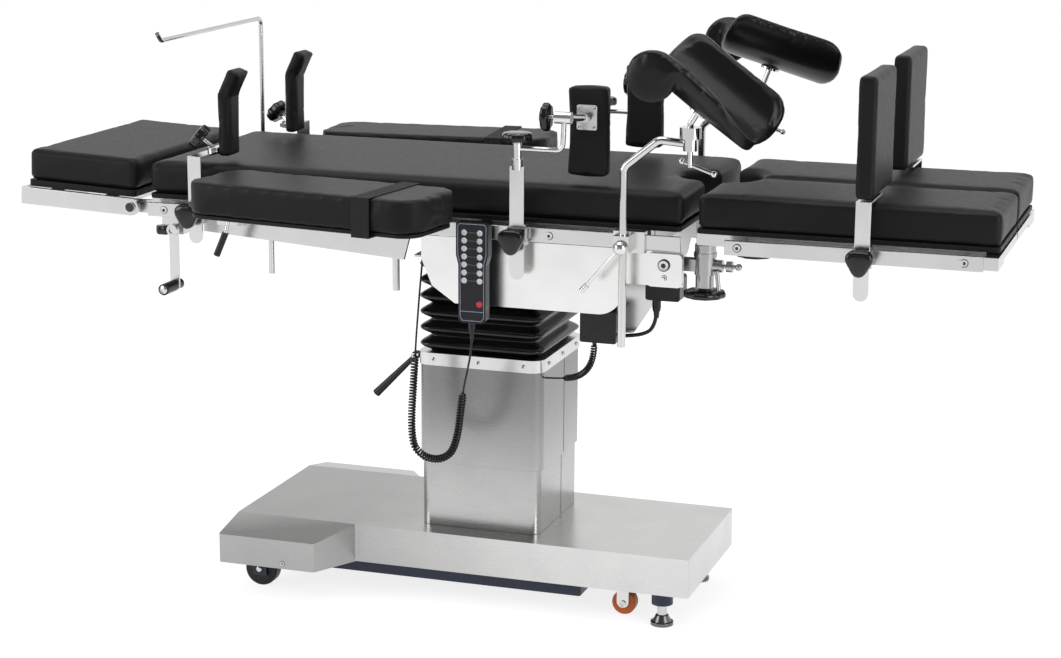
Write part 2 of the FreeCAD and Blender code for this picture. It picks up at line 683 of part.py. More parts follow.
def make_control_boxes():
    """The lower and upper control boxes, with lid screws and a cable gland."""
    face = -118
    lower = slab("XZ", rectangle((size.column_x + 236, size.column_x + 313), (601, 667)),
                 (face - 72, face), corner=4)
    screws = [cylinder("Y", (x, 609), 3.5, (face - 73.5, face - 72))
              for x in (size.column_x + 244, size.column_x + 305)]
    upper = slab("XZ", rectangle((size.seat_end - 96, size.seat_end - 24), (696, 745)),
                 (face - 60, face - 4), corner=6)
    heads = [cylinder("Y", (x, 702), 3, (face - 61.5, face - 60))
             for x in (size.seat_end - 88, size.seat_end - 32)]
    gland = cylinder("Z", (size.seat_end - 80, face - 30), 9, (674, 696))
    foot = box((size.seat_end - 96, size.seat_end - 66), (face - 60, face - 4), (745, size.frame_low))
    node("control_boxes", fuse(lower, *screws), fuse(upper, *heads, gland, foot))


def make_handset():
    """The hand control on its rail hook, its keys, and the leads below."""
    middle, top, bottom = size.column_x + 48, size.rail_top + 9, 652
    front, rear = -size.rail_out - 34, -size.rail_out - 10
    half = 34
    outline = [(middle - half, top), (middle - half, 790), (middle - 29, 772), (middle - 29, bottom + 6),
               (middle - 22, bottom), (middle + 22, bottom), (middle + 29, bottom + 6), (middle + 29, 772),
               (middle + half, 790), (middle + half, top)]
    case = slab("XZ", outline, (front, rear), corner=4)
    hook = [box((middle - 12, middle + 12), (rear, -rail_in + 2), (size.rail_top + 0.3, size.rail_top + 3)),
            box((middle - 12, middle + 12), (-rail_in + 0.3, -rail_in + 2.8),
                (size.rail_top - 12, size.rail_top + 3)),
            box((middle - 12, middle + 12), (rear, -size.rail_out - 0.3),
                (size.rail_top - 40, size.rail_top + 3))]
    boss = cylinder("Z", (middle - 4, (front + rear) / 2), 6.5, (bottom - 14, bottom))
    node("handset_case", fuse(case, *hook, boss))
    keys = []
    for line in range(7):
        for column in (-1, 1):
            at = (middle + column * 16.5, size.rail_top - 12 - 16.3 * line)
            keys.append(cylinder("Y", at, 6, (front - 1.2, front)))
    keys.append(cylinder("Y", (middle + 16, 692), 6.5, (front - 1.5, front)))
    node("handset_keys", *keys)

    lead_y = (front + rear) / 2
    start = (float(middle) - 4, float(lead_y), bottom - 14.3)
    lead = [start, (start[0], -306, 600), (start[0] - 12, -302, 545), (start[0] - 22, -300, 505)]
    coil = [(start[0] - 22, -300, 504.7), (start[0] - 38, -294, 383.5), (start[0] - 69.5, -290, 352),
            (start[0] - 114, -285, 352), (start[0] - 145.5, -281, 383.5), (start[0] - 141, -262, 548)]
    tail = [(start[0] - 141, -262, 548.3), (start[0] - 140, -256, 600), (start[0] - 138, -248, 660),
            (start[0] - 136, -240, 716), (start[0] - 132, -236, 768),
             (start[0] - 132, -236, float(size.frame_low) - 0.5)]
    node("handset_cord",
         bent_rod(lead, 2.6, shown="handset lead"),
         bent_rod(coil, 8, shown="curly lead"),
         bent_rod(tail, 2.6, shown="upper lead"))
    # the power cord from the lower box to the column
    box_x, wall_x = float(size.column_x) + 255, float(column_foot + size.sleeve_gap + size.column_wall)
    route = [(box_x, -148, 600.5), (box_x, -148, 560), (box_x - 22, -140, 522), (box_x - 62, -128, 504),
             (wall_x + 1, -118, 500)]
    link = bent_rod(route, 5, shown="link cord")
    side_route = [(float(size.seat_end) - 80, -148, 673.5), (float(size.seat_end) - 80, -148, 642),
                  (float(size.seat_end) - 104, -146, 614), (float(size.column_x) + 314, -145, 610)]
    node("power_cords", link, bent_rod(side_route, 4, shown="box cable"))


# Back section
def make_back():
    """Frame, rails, board and cushion of the back, with the two stub rods below."""
    head, foot = size.back_end + 8, size.back_hinge_x - 17
    members = side_members(head, foot)
    hinge = (size.back_hinge_x, size.back_hinge_z)
    lugs, holes = [], []
    for side in (NEAR, FAR):
        lug = (side * (frame_in + 0.4), side * (frame_in + 10))
        lugs.append([box((foot - 20, hinge[0]), lug, (hinge[1] - 13, hinge[1] + 13)),
                     cylinder("Y", hinge, 13, lug)])
        holes.append(cylinder("Y", hinge, size.hinge_pin_radius + size.running_gap,
                              (side * frame_in, side * (frame_in + 11))))
    cross = [box((x, x + 24), (-frame_in, frame_in), (size.frame_low, board_low))
             for x in (head, head + 290, foot - 24)]
    skirts = []
    for side in (NEAR, FAR):
        outline = [(size.shoulder_x, size.frame_low + 4), (foot + 4, size.frame_low + 4),
                   (foot - 12, size.frame_low - 55), (size.shoulder_x, size.frame_low - 24)]
        skirts.append(slab("XZ", outline, (side * size.frame_out, side * (size.frame_out + 8))))
    thin = [cylinder("Z", (size.back_hinge_x - 335, side * 235), 6,
                     (706, size.frame_low)) for side in (NEAR,)]
    thick = [cylinder("Z", (size.back_hinge_x - 55, side * 235), 7.5,
                      (690, size.frame_low)) for side in (NEAR,)]
    # arms that carry the head section
    pivot = (size.head_hinge_x, size.head_hinge_z)
    arms, pins = [], []
    for side in (NEAR, FAR):
        arm = (side * (size.frame_out - 8), side * size.frame_out)
        arms.append([box((pivot[0], head + 20), arm, (pivot[1] - 14, pivot[1] + 14)),
                     cylinder("Y", pivot, 14, arm)])
        bar_face = size.plate_out + size.head_bar_thick + 0.3
        pins.append(fuse(
            cylinder("Y", pivot, size.hinge_pin_radius, (side * size.frame_out, side * bar_face)),
            cylinder("Y", pivot, size.hinge_pin_radius + 3, (side * bar_face, side * (bar_face + 3)))))
    # gear housing of the crank
    crank_x, crank_z = size.shoulder_x - 62, 803
    housing = box((crank_x - 28, crank_x + 28), (-size.plate_out - 10, -size.frame_out),
                  (crank_z - 3, size.frame_low + 9))
    shaft = cylinder("Y", (crank_x, crank_z - 10), 7, (-size.plate_out - 20, -frame_in - 5))
    gearbox = box((crank_x - 16, crank_x + 16), (-size.plate_out, -frame_in - 5),
                  (crank_z - 22, size.frame_low))
    sides = [cut(fuse(members[n], *lugs[n], *arms[n]), holes[n]) for n in range(2)]
    node("back_frame", *sides, *cross, *skirts, *thin, *thick, *pins, fuse(housing, gearbox, shaft))
    make_crank(crank_x, crank_z - 10)

    node("back_rails", *rails(size.back_end + 14, size.back_hinge_x - 22,
                              (size.back_end + 52, size.back_hinge_x - 60)))
    board = slab("XY", rectangle((size.back_end + 5, size.back_hinge_x - 20), (-board_half, board_half)),
                 (board_low, board_top), corner=10)
    node("back_board", board)
    cushion_foot = size.back_hinge_x - size.fold_back
    node("back_pad", slab("XY", rectangle((size.back_end, cushion_foot), (-size.pad_half, size.pad_half)),
                          (pad_low, size.table_top), rim=size.pad_round))


def make_crank(x, z):
    """The crank handle that hangs below the back section."""
    inner, outer = -size.plate_out - 17, -size.plate_out - 11
    bar = slab("XZ", rectangle((x - 9, x + 11), (z - 128, z + 12)), (inner, outer), corner=6)
    hub = cylinder("Y", (x, z), 12, (outer, inner - 6))
    hole = cylinder("Y", (x, z), 7 + size.running_gap, (outer + 1, inner - 7))
    spindle = cylinder("Y", (x, z - 119), 4, (outer + 18, inner - 48))
    grip = cylinder("Y", (x, z - 119), 12, (inner - 2, inner - 50))
    rear_grip = cylinder("Y", (x, z - 119), 11, (outer + 2, outer + 18))
    node("head_crank", fuse(cut(fuse(bar, hub), hole), spindle, grip, rear_grip))


# Head section
def make_head():
    """The head section: bars, board and cushion, set a little above the level."""
    pivot = (size.head_hinge_x, size.head_hinge_z)
    end = size.head_hinge_x + size.head_gap - size.head_long
    half_high = size.head_bar_high / 2
    top = size.head_hinge_z + half_high
    bars, holes = [], []
    for side in (NEAR, FAR):
        span = (side * (size.frame_out + 12), side * (size.frame_out + 12 + size.head_bar_thick))
        bars += [box((end - 5, pivot[0]), span, (pivot[1] - half_high, top)),
                 cylinder("Y", pivot, half_high, span)]
        holes.append(cylinder("Y", pivot, size.hinge_pin_radius + size.running_gap,
                              (side * (size.frame_out + 5), side * (size.frame_out + 50))))
    bar_in = size.frame_out + 12
    cross = [box((end - 5, end + 5), (-bar_in, bar_in), (pivot[1] - half_high, top)),
             box((end + 60, end + 90), (-bar_in, bar_in), (pivot[1] - 5, top)),
             box((end + 190, end + 220), (-bar_in, bar_in), (pivot[1] - 5, top))]
    frame = node("head_frame", cut(fuse(*bars, *cross), *holes))
    board_span = (top, top + size.head_board_thick)
    board = node("head_board", slab("XY", rectangle((end + 3, pivot[0] + 2), (-board_half, board_half)),
                                    board_span, corner=10))
    pad_base = top + size.head_board_thick + size.soft_gap
    pad = node("head_pad", slab("XY", rectangle((end, pivot[0] + size.head_gap),
                                                (-size.pad_half, size.pad_half)),
                                (pad_base, pad_base + size.pad_thick), rim=size.pad_round))
    for thing in (frame, board, pad):
        turned(thing, (pivot[0], 0, pivot[1]), (0, 1, 0), float(size.head_raise))


# Leg sections
def make_legs():
    """Two leg sections: each folds down at the seat and swings outwards at its knuckle."""
    fold = (size.fold_x, size.fold_z)
    for word, side in SIDES.items():
        post = (size.knuckle_x, side * size.knuckle_y)
        arm = (side * (size.knuckle_y - 13), side * (size.knuckle_y + 13))
        sleeve_low, sleeve_top = size.fold_z - 44, size.frame_low + 12
        carrier = fuse(
            box((fold[0], size.knuckle_x - 12), arm, (fold[1] - 12, fold[1] + 12)),
            cylinder("Y", fold, 17, arm),
            cylinder("Z", post, size.sleeve_radius, (fold[1] - 18, sleeve_top)),
            cylinder("Z", post, size.sleeve_radius - 3, (sleeve_low, fold[1])),
            cylinder("Z", post, size.sleeve_radius + 2, (fold[1] + 18, fold[1] + 26)),
            cylinder("X", (post[1], fold[1]), 12.5, (size.knuckle_x, size.knuckle_x + 36)),
            cylinder("X", (post[1], fold[1]), 4, (size.knuckle_x + 30, size.knuckle_x + 68)),
            cylinder("X", (post[1], fold[1]), 11, (size.knuckle_x + 44, size.knuckle_x + 56)),
            ball((size.knuckle_x + 68, post[1], fold[1]), 7),
        )
        lever = rod((float(size.knuckle_x) + 27, float(post[1]) + side * 12, float(fold[1]) - 8),
                    (float(size.knuckle_x) + 32, float(post[1]) + side * 14, float(fold[1]) - 46), 4.5)
        bores = [cylinder("Y", fold, size.hinge_pin_radius + size.running_gap,
                          (arm[0] - side, arm[1] + side)),
                 cylinder("Z", post, 10 + size.running_gap, (sleeve_low - 1, sleeve_top + 1))]
        node("leg_knuckle_" + word, cut(fuse(carrier, lever), *bores))

        inner, outer = side * (size.leg_split / 2 + 4), side * size.frame_out
        under_low = size.frame_low + 15
        under = box((size.leg_start + 3, size.leg_end - 32), (inner, outer), (under_low, board_low))
        hollow = box((size.leg_start + 75, size.leg_end - 60), (side * 40, side * frame_in),
                     (size.frame_low, board_low + 1))
        spigot = fuse(cylinder("Z", post, 10, (sleeve_low - 8, under_low)),
                      cylinder("Z", post, 15, (sleeve_top + 0.3, under_low)),
                      cylinder("Z", post, 12, (sleeve_low - 8, sleeve_low - 0.3)))
        hand_nut = cylinder("Z", post, 37, (sleeve_low - 20, sleeve_low - 8))
        end_span = (size.leg_end - 32, size.leg_end - 4)
        end_bars = [box(end_span, (inner, side * 200), (under_low + 2, size.rail_top)),
                    box(end_span, (side * 200, side * size.rail_out), (rail_low + 4, size.rail_top))]
        opening = cylinder("Z", (size.seat_end + 4, 0), size.leg_opening_radius + 6,
                           (size.frame_low, size.table_top + 5))
        frame = [cut(under, hollow, opening), spigot, hand_nut, *end_bars]
        guide_out = size.rail_out + 13 + size.strap_thick + 2 * size.clamp_gap
        clamp = fuse(rail_clamp(size.foot_plate_x, side), *strap_guide(size.foot_plate_x, side),
                     *lobed_knob(size.foot_plate_x, side, size.rail_top - 18, guide_out))
        node("leg_frame_" + word, *frame, *leg_rail(side), clamp)

        board = slab("XY", rectangle((size.leg_start + 3, size.leg_end - 5),
                                     (side * (size.leg_split / 2 + 1), side * board_half)),
                     (board_low, board_top), corner=8)
        cushion = slab("XY", rectangle((size.leg_start, size.leg_end),
                                       (side * size.leg_split / 2, side * size.pad_half)),
                       (pad_low, size.table_top), corner=16, rim=size.pad_round)
        cutter = [cylinder("Z", (size.seat_end + 4, 0), size.leg_opening_radius,
                           (board_low - 5, size.table_top + 5))
                  for _ in range(2)]
        node("leg_pad_" + word, cut(board, cutter[0]), cut(cushion, cutter[1]))


def leg_rail(side):
    """The side rail of one leg section, and its two spacers."""
    head, foot = size.leg_start + 66, size.leg_end - 32
    middle = (rail_low + size.rail_top) / 2
    bar = slab("XZ", rectangle((head, foot), (rail_low, size.rail_top)),
               (side * rail_in, side * size.rail_out),
               rim=1)
    posts = (head + 26, foot - 45)
    spacers = [cylinder("Y", (x, middle + 4), 8, (side * size.frame_out, side * rail_in)) for x in posts]
    heads = [cylinder("Y", (x, middle), 7.5, (side * size.rail_out,
                                              side * (size.rail_out + 1.5))) for x in posts]
    return [fuse(bar, *heads), *spacers]


# Rail clamps and knobs
def rail_clamp(x, side, half=17):
    """A jaw that hooks over the top and bottom of a side rail."""
    gap = size.clamp_gap
    outer = size.rail_out + 8
    outline = [(outer, rail_low - 7), (outer, size.rail_top + 7), (rail_in - 3, size.rail_top + 7),
               (rail_in - 3, size.rail_top + gap), (size.rail_out + gap, size.rail_top + gap),
               (size.rail_out + gap, rail_low - gap), (rail_in - 3, rail_low - gap), (rail_in - 3,
                                                                                      rail_low - 7)]
    return slab("YZ", [(side * y, z) for y, z in outline], (x - half, x + half))


def strap_guide(x, side):
    """The U-shaped guide outside a clamp, which the strap slides in."""
    inner = size.rail_out + 8
    slot = inner + size.strap_thick + 2 * size.clamp_gap
    half = size.strap_wide / 2 + size.clamp_gap
    level = (size.rail_top - 24, size.rail_top)
    plate = box((x - half - 4, x + half + 4), (side * slot, side * (slot + 5)), level)
    cheeks = [box((x + way * half, x + way * (half + 4)), (side * inner, side * slot), level) for way in (-1,
                                                                                                          1)]
    return [plate, *cheeks]


def lobed_knob(x, side, z, start):
    """A three-lobed knob on a short shank, pointing outwards."""
    face = side * (start + 10)
    lobes = [cylinder("Y", (x + 13 * math.cos(a), z + 13 * math.sin(a)), 14, (face, face + side * 17))
             for a in (-math.pi / 2, math.pi / 6, math.pi * 5 / 6)]
    shank = cylinder("Y", (x, z), 6, (side * start, face))
    return [fuse(*lobes, cylinder("Y", (x, z), 17, (face, face + side * 20)), shank)]


def strap(x, side, low, high):
    """A flat bar with a rounded lower end, which slides in a clamp's guide."""
    inner = side * (size.rail_out + 8 + size.clamp_gap)
    half = size.strap_wide / 2
    outline = [(x - half, high), (x - half, low + half), (x - half * 0.87, low + half * 0.5),
               (x - half * 0.5, low + half * 0.13), (x, low), (x + half * 0.5, low + half * 0.13),
               (x + half * 0.87, low + half * 0.5), (x + half, low + half), (x + half, high)]
    return slab("XZ", outline, (inner, inner + side * size.strap_thick))


# Where the shoulder supports and arm boards sit along each rail
SHOULDER_X = {"near": size.shoulder_x, "far": size.shoulder_far_x}
ARM_X = {"near": size.arm_pivot_x, "far": size.arm_pivot_far_x}


def make_clamps():
    """The jaws on the rails of the back, seat and legs, with their knobs and levers."""
    back, seat = [], []
    guide_out = size.rail_out + 13 + size.strap_thick + 2 * size.clamp_gap
    knob_z = size.rail_top - 14
    for word, side in SIDES.items():
        shoulder_x, arm_x = SHOULDER_X[word], ARM_X[word]
        back.append(fuse(rail_clamp(shoulder_x, side), *strap_guide(shoulder_x, side),
                         *lobed_knob(shoulder_x - 6, side, knob_z, guide_out)))
        pivot_y = side * size.arm_pivot_y
        bracket = box((arm_x - 22, arm_x + 22), (side * (size.rail_out + 8), pivot_y),
                      (size.rail_top - 18, size.rail_top - 1))
        eye = cylinder("Z", (arm_x, pivot_y), 22, (size.rail_top - 18, size.rail_top - 1))
        hole = cylinder("Z", (arm_x, pivot_y), 9 + size.running_gap, (size.rail_top - 20, size.rail_top + 12))
        handle = rod((float(arm_x) + 12, side * 322, float(size.rail_top) - 14),
                     (float(arm_x) + 6, side * 326, 804), 4)
        grip = rod((float(arm_x) + 6, side * 326, 805), (float(arm_x) - 14, side * 330, 756), 7)
        back.append(cut(fuse(rail_clamp(arm_x, side, 30), bracket, eye, handle, grip), hole))
        seat.append(fuse(rail_clamp(size.lateral_x, side), *strap_guide(size.lateral_x, side),
                         *lobed_knob(size.lateral_x - 3, side, knob_z - 8, guide_out)))
        post_y = side * (size.rail_out + 22)
        jaw = rail_clamp(size.stirrup_x + 8, side, 32)
        block = box((size.stirrup_x - 16, size.stirrup_x + 16),
                    (side * (size.rail_out + 8), side * (size.rail_out + 38)),
                    (rail_low - 2, size.rail_top + 2))
        bore = cylinder("Z", (size.stirrup_x, post_y), size.rod_radius + size.running_gap,
                        (rail_low - 20, size.rail_top + 20))
        lever = rod((float(size.stirrup_x) - 4, side * 326, 822),
                    (float(size.stirrup_x) - 68, side * 330, 748), 4)
        tip = rod((float(size.stirrup_x) - 66, side * 330, 750),
                  (float(size.stirrup_x) - 76, side * 331, 738), 6)
        knob = ball((size.stirrup_x, side * (size.rail_out + 40), 828), 15)
        seat.append(fuse(cut(fuse(jaw, block, knob), bore), lever, tip))
    screen_y = size.rail_out + 17
    holder = box((size.screen_x - 10, size.screen_x + 10), (size.rail_out + 8, size.rail_out + 27),
                 (rail_low - 4, size.rail_top + 4))
    hole = cylinder("Z", (size.screen_x, screen_y), 5 + size.running_gap, (rail_low - 10, size.rail_top + 20))
    back.append(fuse(cut(fuse(rail_clamp(size.screen_x + 4, FAR, 14), holder), hole),
                     *lobed_knob(size.screen_x + 2, FAR, knob_z - 2, size.rail_out + 27)))
    node("back_rail_clamps", *back)
    node("seat_rail_clamps", *seat)


# Accessories
ARM_TURN = {"near": -8.0, "far": 5.5}


def make_arm_boards():
    """Arm boards: a padded plate that turns on a pin at its head end."""
    for word, side in SIDES.items():
        pivot = (ARM_X[word], side * size.arm_pivot_y)
        near_edge = side * (size.arm_pivot_y - 38)
        far_edge = side * (size.arm_pivot_y - 38 + size.arm_wide)
        head = pivot[0] - (size.arm_back if side == NEAR else size.arm_back_far)
        foot = head + size.arm_long
        low = size.arm_top - size.arm_thick
        plate = slab("XY", rectangle((head + 8, foot - 12), (near_edge + side * 10, far_edge - side * 10)),
                     (low - size.soft_gap - 8, low - size.soft_gap), corner=40)
        level = (low - size.soft_gap - 16, low - size.soft_gap - 8)
        arm = fuse(cylinder("Z", pivot, 17, level),
                   box((pivot[0], pivot[0] + 70), (pivot[1] - 17, pivot[1] + 17), level))
        pin = cylinder("Z", pivot, 9, (size.rail_top - 17, low - size.soft_gap - 8))
        frame = node("arm_board_" + word, fuse(plate, arm, pin))
        pad = slab("XY", rectangle((head, foot), (near_edge, far_edge)), (low, size.arm_top), corner=55)
        lower_strap = box((foot - 142, foot - 102), (near_edge - side * 1.5, far_edge + side * 1.5),
                          (low - size.soft_gap - 11.5, low - size.soft_gap - 8.3))
        band = strap_loop(foot - 142, foot - 102, near_edge, far_edge, side, low)
        cushion = node("arm_pad_" + word, pad, fuse(lower_strap, *band))
        for thing in (frame, cushion):
            turned(thing, (pivot[0], pivot[1], 0), (0, 0, 1), ARM_TURN[word])


def strap_loop(head, foot, inner, outer, side, low):
    """The webbing round an arm cushion: its two sides and its top."""
    thick, gap = 1.5, 0.3
    sides = [box((head, foot), (y + way * side * gap, y + way * side * (gap + thick)),
                 (low - size.soft_gap - 11.5, size.arm_top + gap + thick))
             for y, way in ((inner, -1), (outer, 1))]
    top = box((head, foot), (inner - side * (gap + thick), outer + side * (gap + thick)),
              (size.arm_top + gap, size.arm_top + gap + thick))
    return [*sides, top]


def make_shoulder_supports():
    """Shoulder supports: a strap over the table edge and a bent pad on a clamp."""
    for word, side in SIDES.items():
        x = SHOULDER_X[word]
        bar_in = size.rail_out + 8 + size.clamp_gap
        top = size.table_top + 24
        post = strap(x, side, 771, top)
        reach = box((x - 15, x + 15), (side * 208, side * (bar_in + size.strap_thick)), (top - 5, top))
        boss = cylinder("Z", (x + 2, side * 205), 14, (top - 5, top + 8))
        arm = box((x - 2, x + 16), (side * 170, side * 200), (top, top + 8))
        screw = rod((float(x) + 2, side * 205, float(top) + 6), (float(x) - 22, side * 213, float(top) + 26),
                    4)
        knob = rod((float(x) - 20, side * 212, float(top) + 24), (float(x) - 32, side * 216, float(top) + 34),
                   22)
        rear = x + 11
        stem = box((rear, rear + 4), (side * 172, side * 198), (top, top + 90))
        steel = fuse(post, reach, boss, arm, screw, knob, stem)
        face = rear + 4.3
        low, kink, high = size.table_top + 13, size.table_top + 144, size.table_top + 196
        lean = 26
        outline = [(face, low), (face + 26, low), (face + 26, kink - 4), (face + 26 + lean, high - 6),
                   (face + lean, high + 4), (face, kink)]
        pad = slab("XZ", outline, (side * 155, side * 217), corner=4)
        node("shoulder_support_" + word, steel, pad)


def make_lateral_supports():
    """Side supports: a strap with a post, a bent rod, a swivel clamp and a pad."""
    for word, side in SIDES.items():
        x = size.lateral_x
        bar_in = side * (size.rail_out + 8 + size.clamp_gap)
        bar_middle = bar_in + side * size.strap_thick / 2
        y = float(bar_middle)
        post = cylinder("Z", (x, bar_middle), 9, (970, 1019))
        socket = cylinder("Z", (x, bar_middle), 11, (966, 988))
        knob = cylinder("Z", (x, bar_middle), 26, (1024, 1040))
        neck = cylinder("Z", (x, bar_middle), 7, (1019, 1024))
        arm = bent_rod([(float(x), y, 1009), (float(x) + 94, y, 1009), (float(x) + 97, y, 1072)], 5, 14)
        joint = cylinder("X", (bar_middle, 1074), 12, (x + 78, x + 112))
        screw = cylinder("X", (bar_middle, 1074), 4, (x + 66, x + 80))
        turn = cylinder("X", (bar_middle, 1074), 23, (x + 52, x + 66))
        pin = rod((float(x) + 97, y, 1074), (float(x) + 122, side * 240, 1068), 7)
        swivel = cylinder("Y", (x + 122, 1068), 9, (side * 232, side * 246))
        node("lateral_rod_" + word,
             fuse(strap(x, side, 744, 972), post, socket, neck, knob, arm, joint, screw, turn, pin, swivel))
        centre = x + 122
        stub = cylinder("Y", (centre, 1068), 5, (side * 232, side * 226))
        plate = slab("XZ", rectangle((centre - 21, centre + 21), (1042, 1092)), (side * 222, side * 226),
                     corner=4)
        screws = [cylinder("Y", (centre + dx, 1067 + dz), 3, (side * 226, side * 227.5))
                  for dx in (-15, 15) for dz in (-19, 19)]
        pad = slab("XZ", rectangle((centre - 42, centre + 42), (947, 1129)), (side * 190, side * 221.7),
                   corner=9)
        node("lateral_pad_" + word, fuse(plate, stub, *screws), pad)


def make_stirrups():
    """Knee crutches: a bent post, a socket clamp and a gutter-shaped cushion on a pin."""
    for word, side in SIDES.items():
        x, y = float(size.stirrup_x), side * (float(size.rail_out) + 22)
        joint = (x + 132, y, 1070)
        route = [(x, y, 626), (x, y, 985), (x + 70, y, 1042), (joint[0] - 10, y, 1038)]
        post = bent_rod(route, float(size.rod_radius), 22)
        drum = rod((joint[0], y, 1024), (joint[0], y, 1049), 14)
        collar = rod((joint[0], y, 1048), joint, 21)
        bore = cylinder("Z", (joint[0], y), size.crutch_pin_radius + size.running_gap, (1040, 1071))
        stem = rod((joint[0], y, 992), (joint[0], y, 1026), 5.5)
        lever = rod((joint[0] - 16, y, 1003), (joint[0] + 48, y, 981), 4)
        ends = [ball((joint[0] - 16, y, 1003), 6.5), ball((joint[0] + 48, y, 981), 6.5)]
        node("stirrup_post_" + word, cut(fuse(post, drum, collar, stem, lever, *ends), bore))
        make_crutch_cushion(word, side, joint)


# Length from the cushion's foot on its rod to each end, and the turn of each side's cushion
GUTTER_HEAD, GUTTER_FOOT = -118.0, 133.0
GUTTER_TURN = {"near": (6.5, 35.5, 33.0), "far": (21.5, 18.5, 50.0)}


def make_crutch_cushion(word, side, joint):
    """The gutter cushion: a trough with a long inner wall and a round lobe outside, on a rod."""
    outer, wall = float(size.gutter_radius), float(size.gutter_wall)
    long = GUTTER_FOOT - GUTTER_HEAD
    top = outer + 30

    def trough(radius, grow):
        start = FreeCAD.Vector(GUTTER_HEAD - 20 - grow, 0, outer)
        pipe = Part.makeCylinder(radius, long + 20 + 2 * grow, start, FreeCAD.Vector(1, 0, 0))
        return pipe.fuse(Part.makeBox(long + 20 + 2 * grow, 2 * radius, top - outer + grow,
                                      FreeCAD.Vector(start.x, -radius, outer)))

    def upright(points, radius):
        return Part.Face(Part.Wire(rounded_profile(points, radius)))

    shell = trough(outer, 0).cut(trough(outer - wall, 1))
    low, reach = -6, outer + 5
    inside = upright([(GUTTER_HEAD, low), (GUTTER_HEAD - 14, outer * 0.4), (GUTTER_HEAD - 4, outer - 1),
                      (GUTTER_FOOT * 0.75, outer + 1), (GUTTER_FOOT, outer * 0.7), (GUTTER_FOOT, low)], 58)
    outside = upright([(GUTTER_HEAD, low), (GUTTER_HEAD, 73), (GUTTER_FOOT * 0.3, 71),
                       (GUTTER_FOOT * 0.7, 47),
                       (GUTTER_FOOT, 28), (GUTTER_FOOT, low)], 30)
    shape = shell.common(inside.extrude(FreeCAD.Vector(0, -reach, 0)).fuse(
        outside.extrude(FreeCAD.Vector(0, reach, 0))))
    lobe = Part.makeCylinder(52, wall, FreeCAD.Vector(-93, outer - wall, 22), FreeCAD.Vector(0, 1, 0))
    strip = Part.makeBox(43, wall, 54, FreeCAD.Vector(-93, outer - wall, 20))
    shape = shape.fuse([lobe, strip]).removeSplitter()
    if side == NEAR:
        shape = shape.mirror(FreeCAD.Vector(), FreeCAD.Vector(0, 1, 0))
    cushion = doc.addObject("Part::Feature", "gutter")
    cushion.Shape = shape
    yaw, pitch, rise = GUTTER_TURN[word]
    turn = FreeCAD.Rotation(FreeCAD.Vector(0, 0, 1), side * yaw).multiply(
        FreeCAD.Rotation(FreeCAD.Vector(0, 1, 0), pitch))
    seat = FreeCAD.Vector(joint[0] + 16, joint[1], joint[2] + rise)
    cushion.Placement = FreeCAD.Placement(seat + turn.multVec(FreeCAD.Vector(0, 0, float(size.soft_gap))),
                                          turn)
    radius = float(size.crutch_pin_radius)
    pin = cylinder("Z", joint[:2], size.crutch_pin_radius, (1042, joint[2] + 8))
    elbow = (joint[0], joint[1], joint[2] + 8)
    stem = rod(elbow, tuple(seat - turn.multVec(FreeCAD.Vector(0, 0, 3))), radius)
    plate = rod(tuple(seat - turn.multVec(FreeCAD.Vector(0, 0, 5))), tuple(seat), 20)
    node("crutch_cushion_" + word, cushion, fuse(pin, ball(elbow, radius), stem, plate))


def rounded_profile(points, radius):
    """Edges of an upright outline in the XZ plane with every inner corner rounded."""
    at = [FreeCAD.Vector(x, 0, z) for x, z in points]
    count = len(at)
    edges, starts = [], []
    for i in range(count):
        before = (at[i] - at[i - 1])
        after = (at[(i + 1) % count] - at[i])
        half = before.getAngle(after) / 2
        bend = min(radius, 0.45 * min(before.Length, after.Length) / math.tan(half))
        reach = bend * math.tan(half)
        into = at[i] - FreeCAD.Vector(before).normalize() * reach
        out = at[i] + FreeCAD.Vector(after).normalize() * reach
        inward = (FreeCAD.Vector(after).normalize() - FreeCAD.Vector(before).normalize()).normalize()
        middle = at[i] + inward * (bend / math.cos(half) - bend)
        starts.append((into, middle, out))
    for i in range(count):
        into, middle, out = starts[i]
        edges.append(Part.Arc(into, middle, out).toShape())
        edges.append(Part.LineSegment(out, starts[(i + 1) % count][0]).toShape())
    return edges


def make_foot_plates():
    """Foot plates: an upright pad on a strap that slides in a clamp on the leg rail."""
    for word, side in SIDES.items():
        x = size.foot_plate_x
        low = size.table_top + 13
        bar_in = size.rail_out + 8 + size.clamp_gap
        bar = strap(x, side, 750, low - size.soft_gap)
        shoe = box((x - 15, x + 15), (side * 180, side * (bar_in + size.strap_thick)),
                   (low - 5, low - size.soft_gap))
        pad = slab("YZ", rectangle((side * 78, side * 302), (low, low + 242)), (x - 18, x + 18), corner=6,
                   rim=4)
        node("foot_plate_" + word, fuse(bar, shoe), pad)


def make_screen_rod():
    """The screen holder: an upright rod at the far side, bent over the table."""
    x, y = float(size.screen_x), float(size.rail_out) + 17
    route = [(x, y, 790), (x, y, 1184), (x, -198, 1180), (x, -214, 1196)]
    node("screen_rod", bent_rod(route, 5, 16))


make_base()
make_column()
make_bellows()
make_seat()
make_back()
make_head()
make_legs()
make_clamps()
make_arm_boards()
make_shoulder_supports()
make_lateral_supports()
make_stirrups()
make_foot_plates()
make_screen_rod()
doc.recompute()

# Every object must have been made, and every sub-part is written to its own file
os.makedirs("parts", exist_ok=True)
written_files = 0
for thing in doc.Objects:
    if "Invalid" in thing.State or "Error" in thing.State:
        raise RuntimeError("%s (%s) failed: %s" % (thing.Name, thing.Label, thing.State))
    if thing.TypeId == "Part::Compound":
        if thing.Shape.isNull() or not thing.Shape.isValid():
            raise RuntimeError(thing.Label + " has no valid shape")
        thing.Shape.exportStep("parts/%s.step" % thing.Label)
        written_files += 1
print("sub-parts written:", written_files)
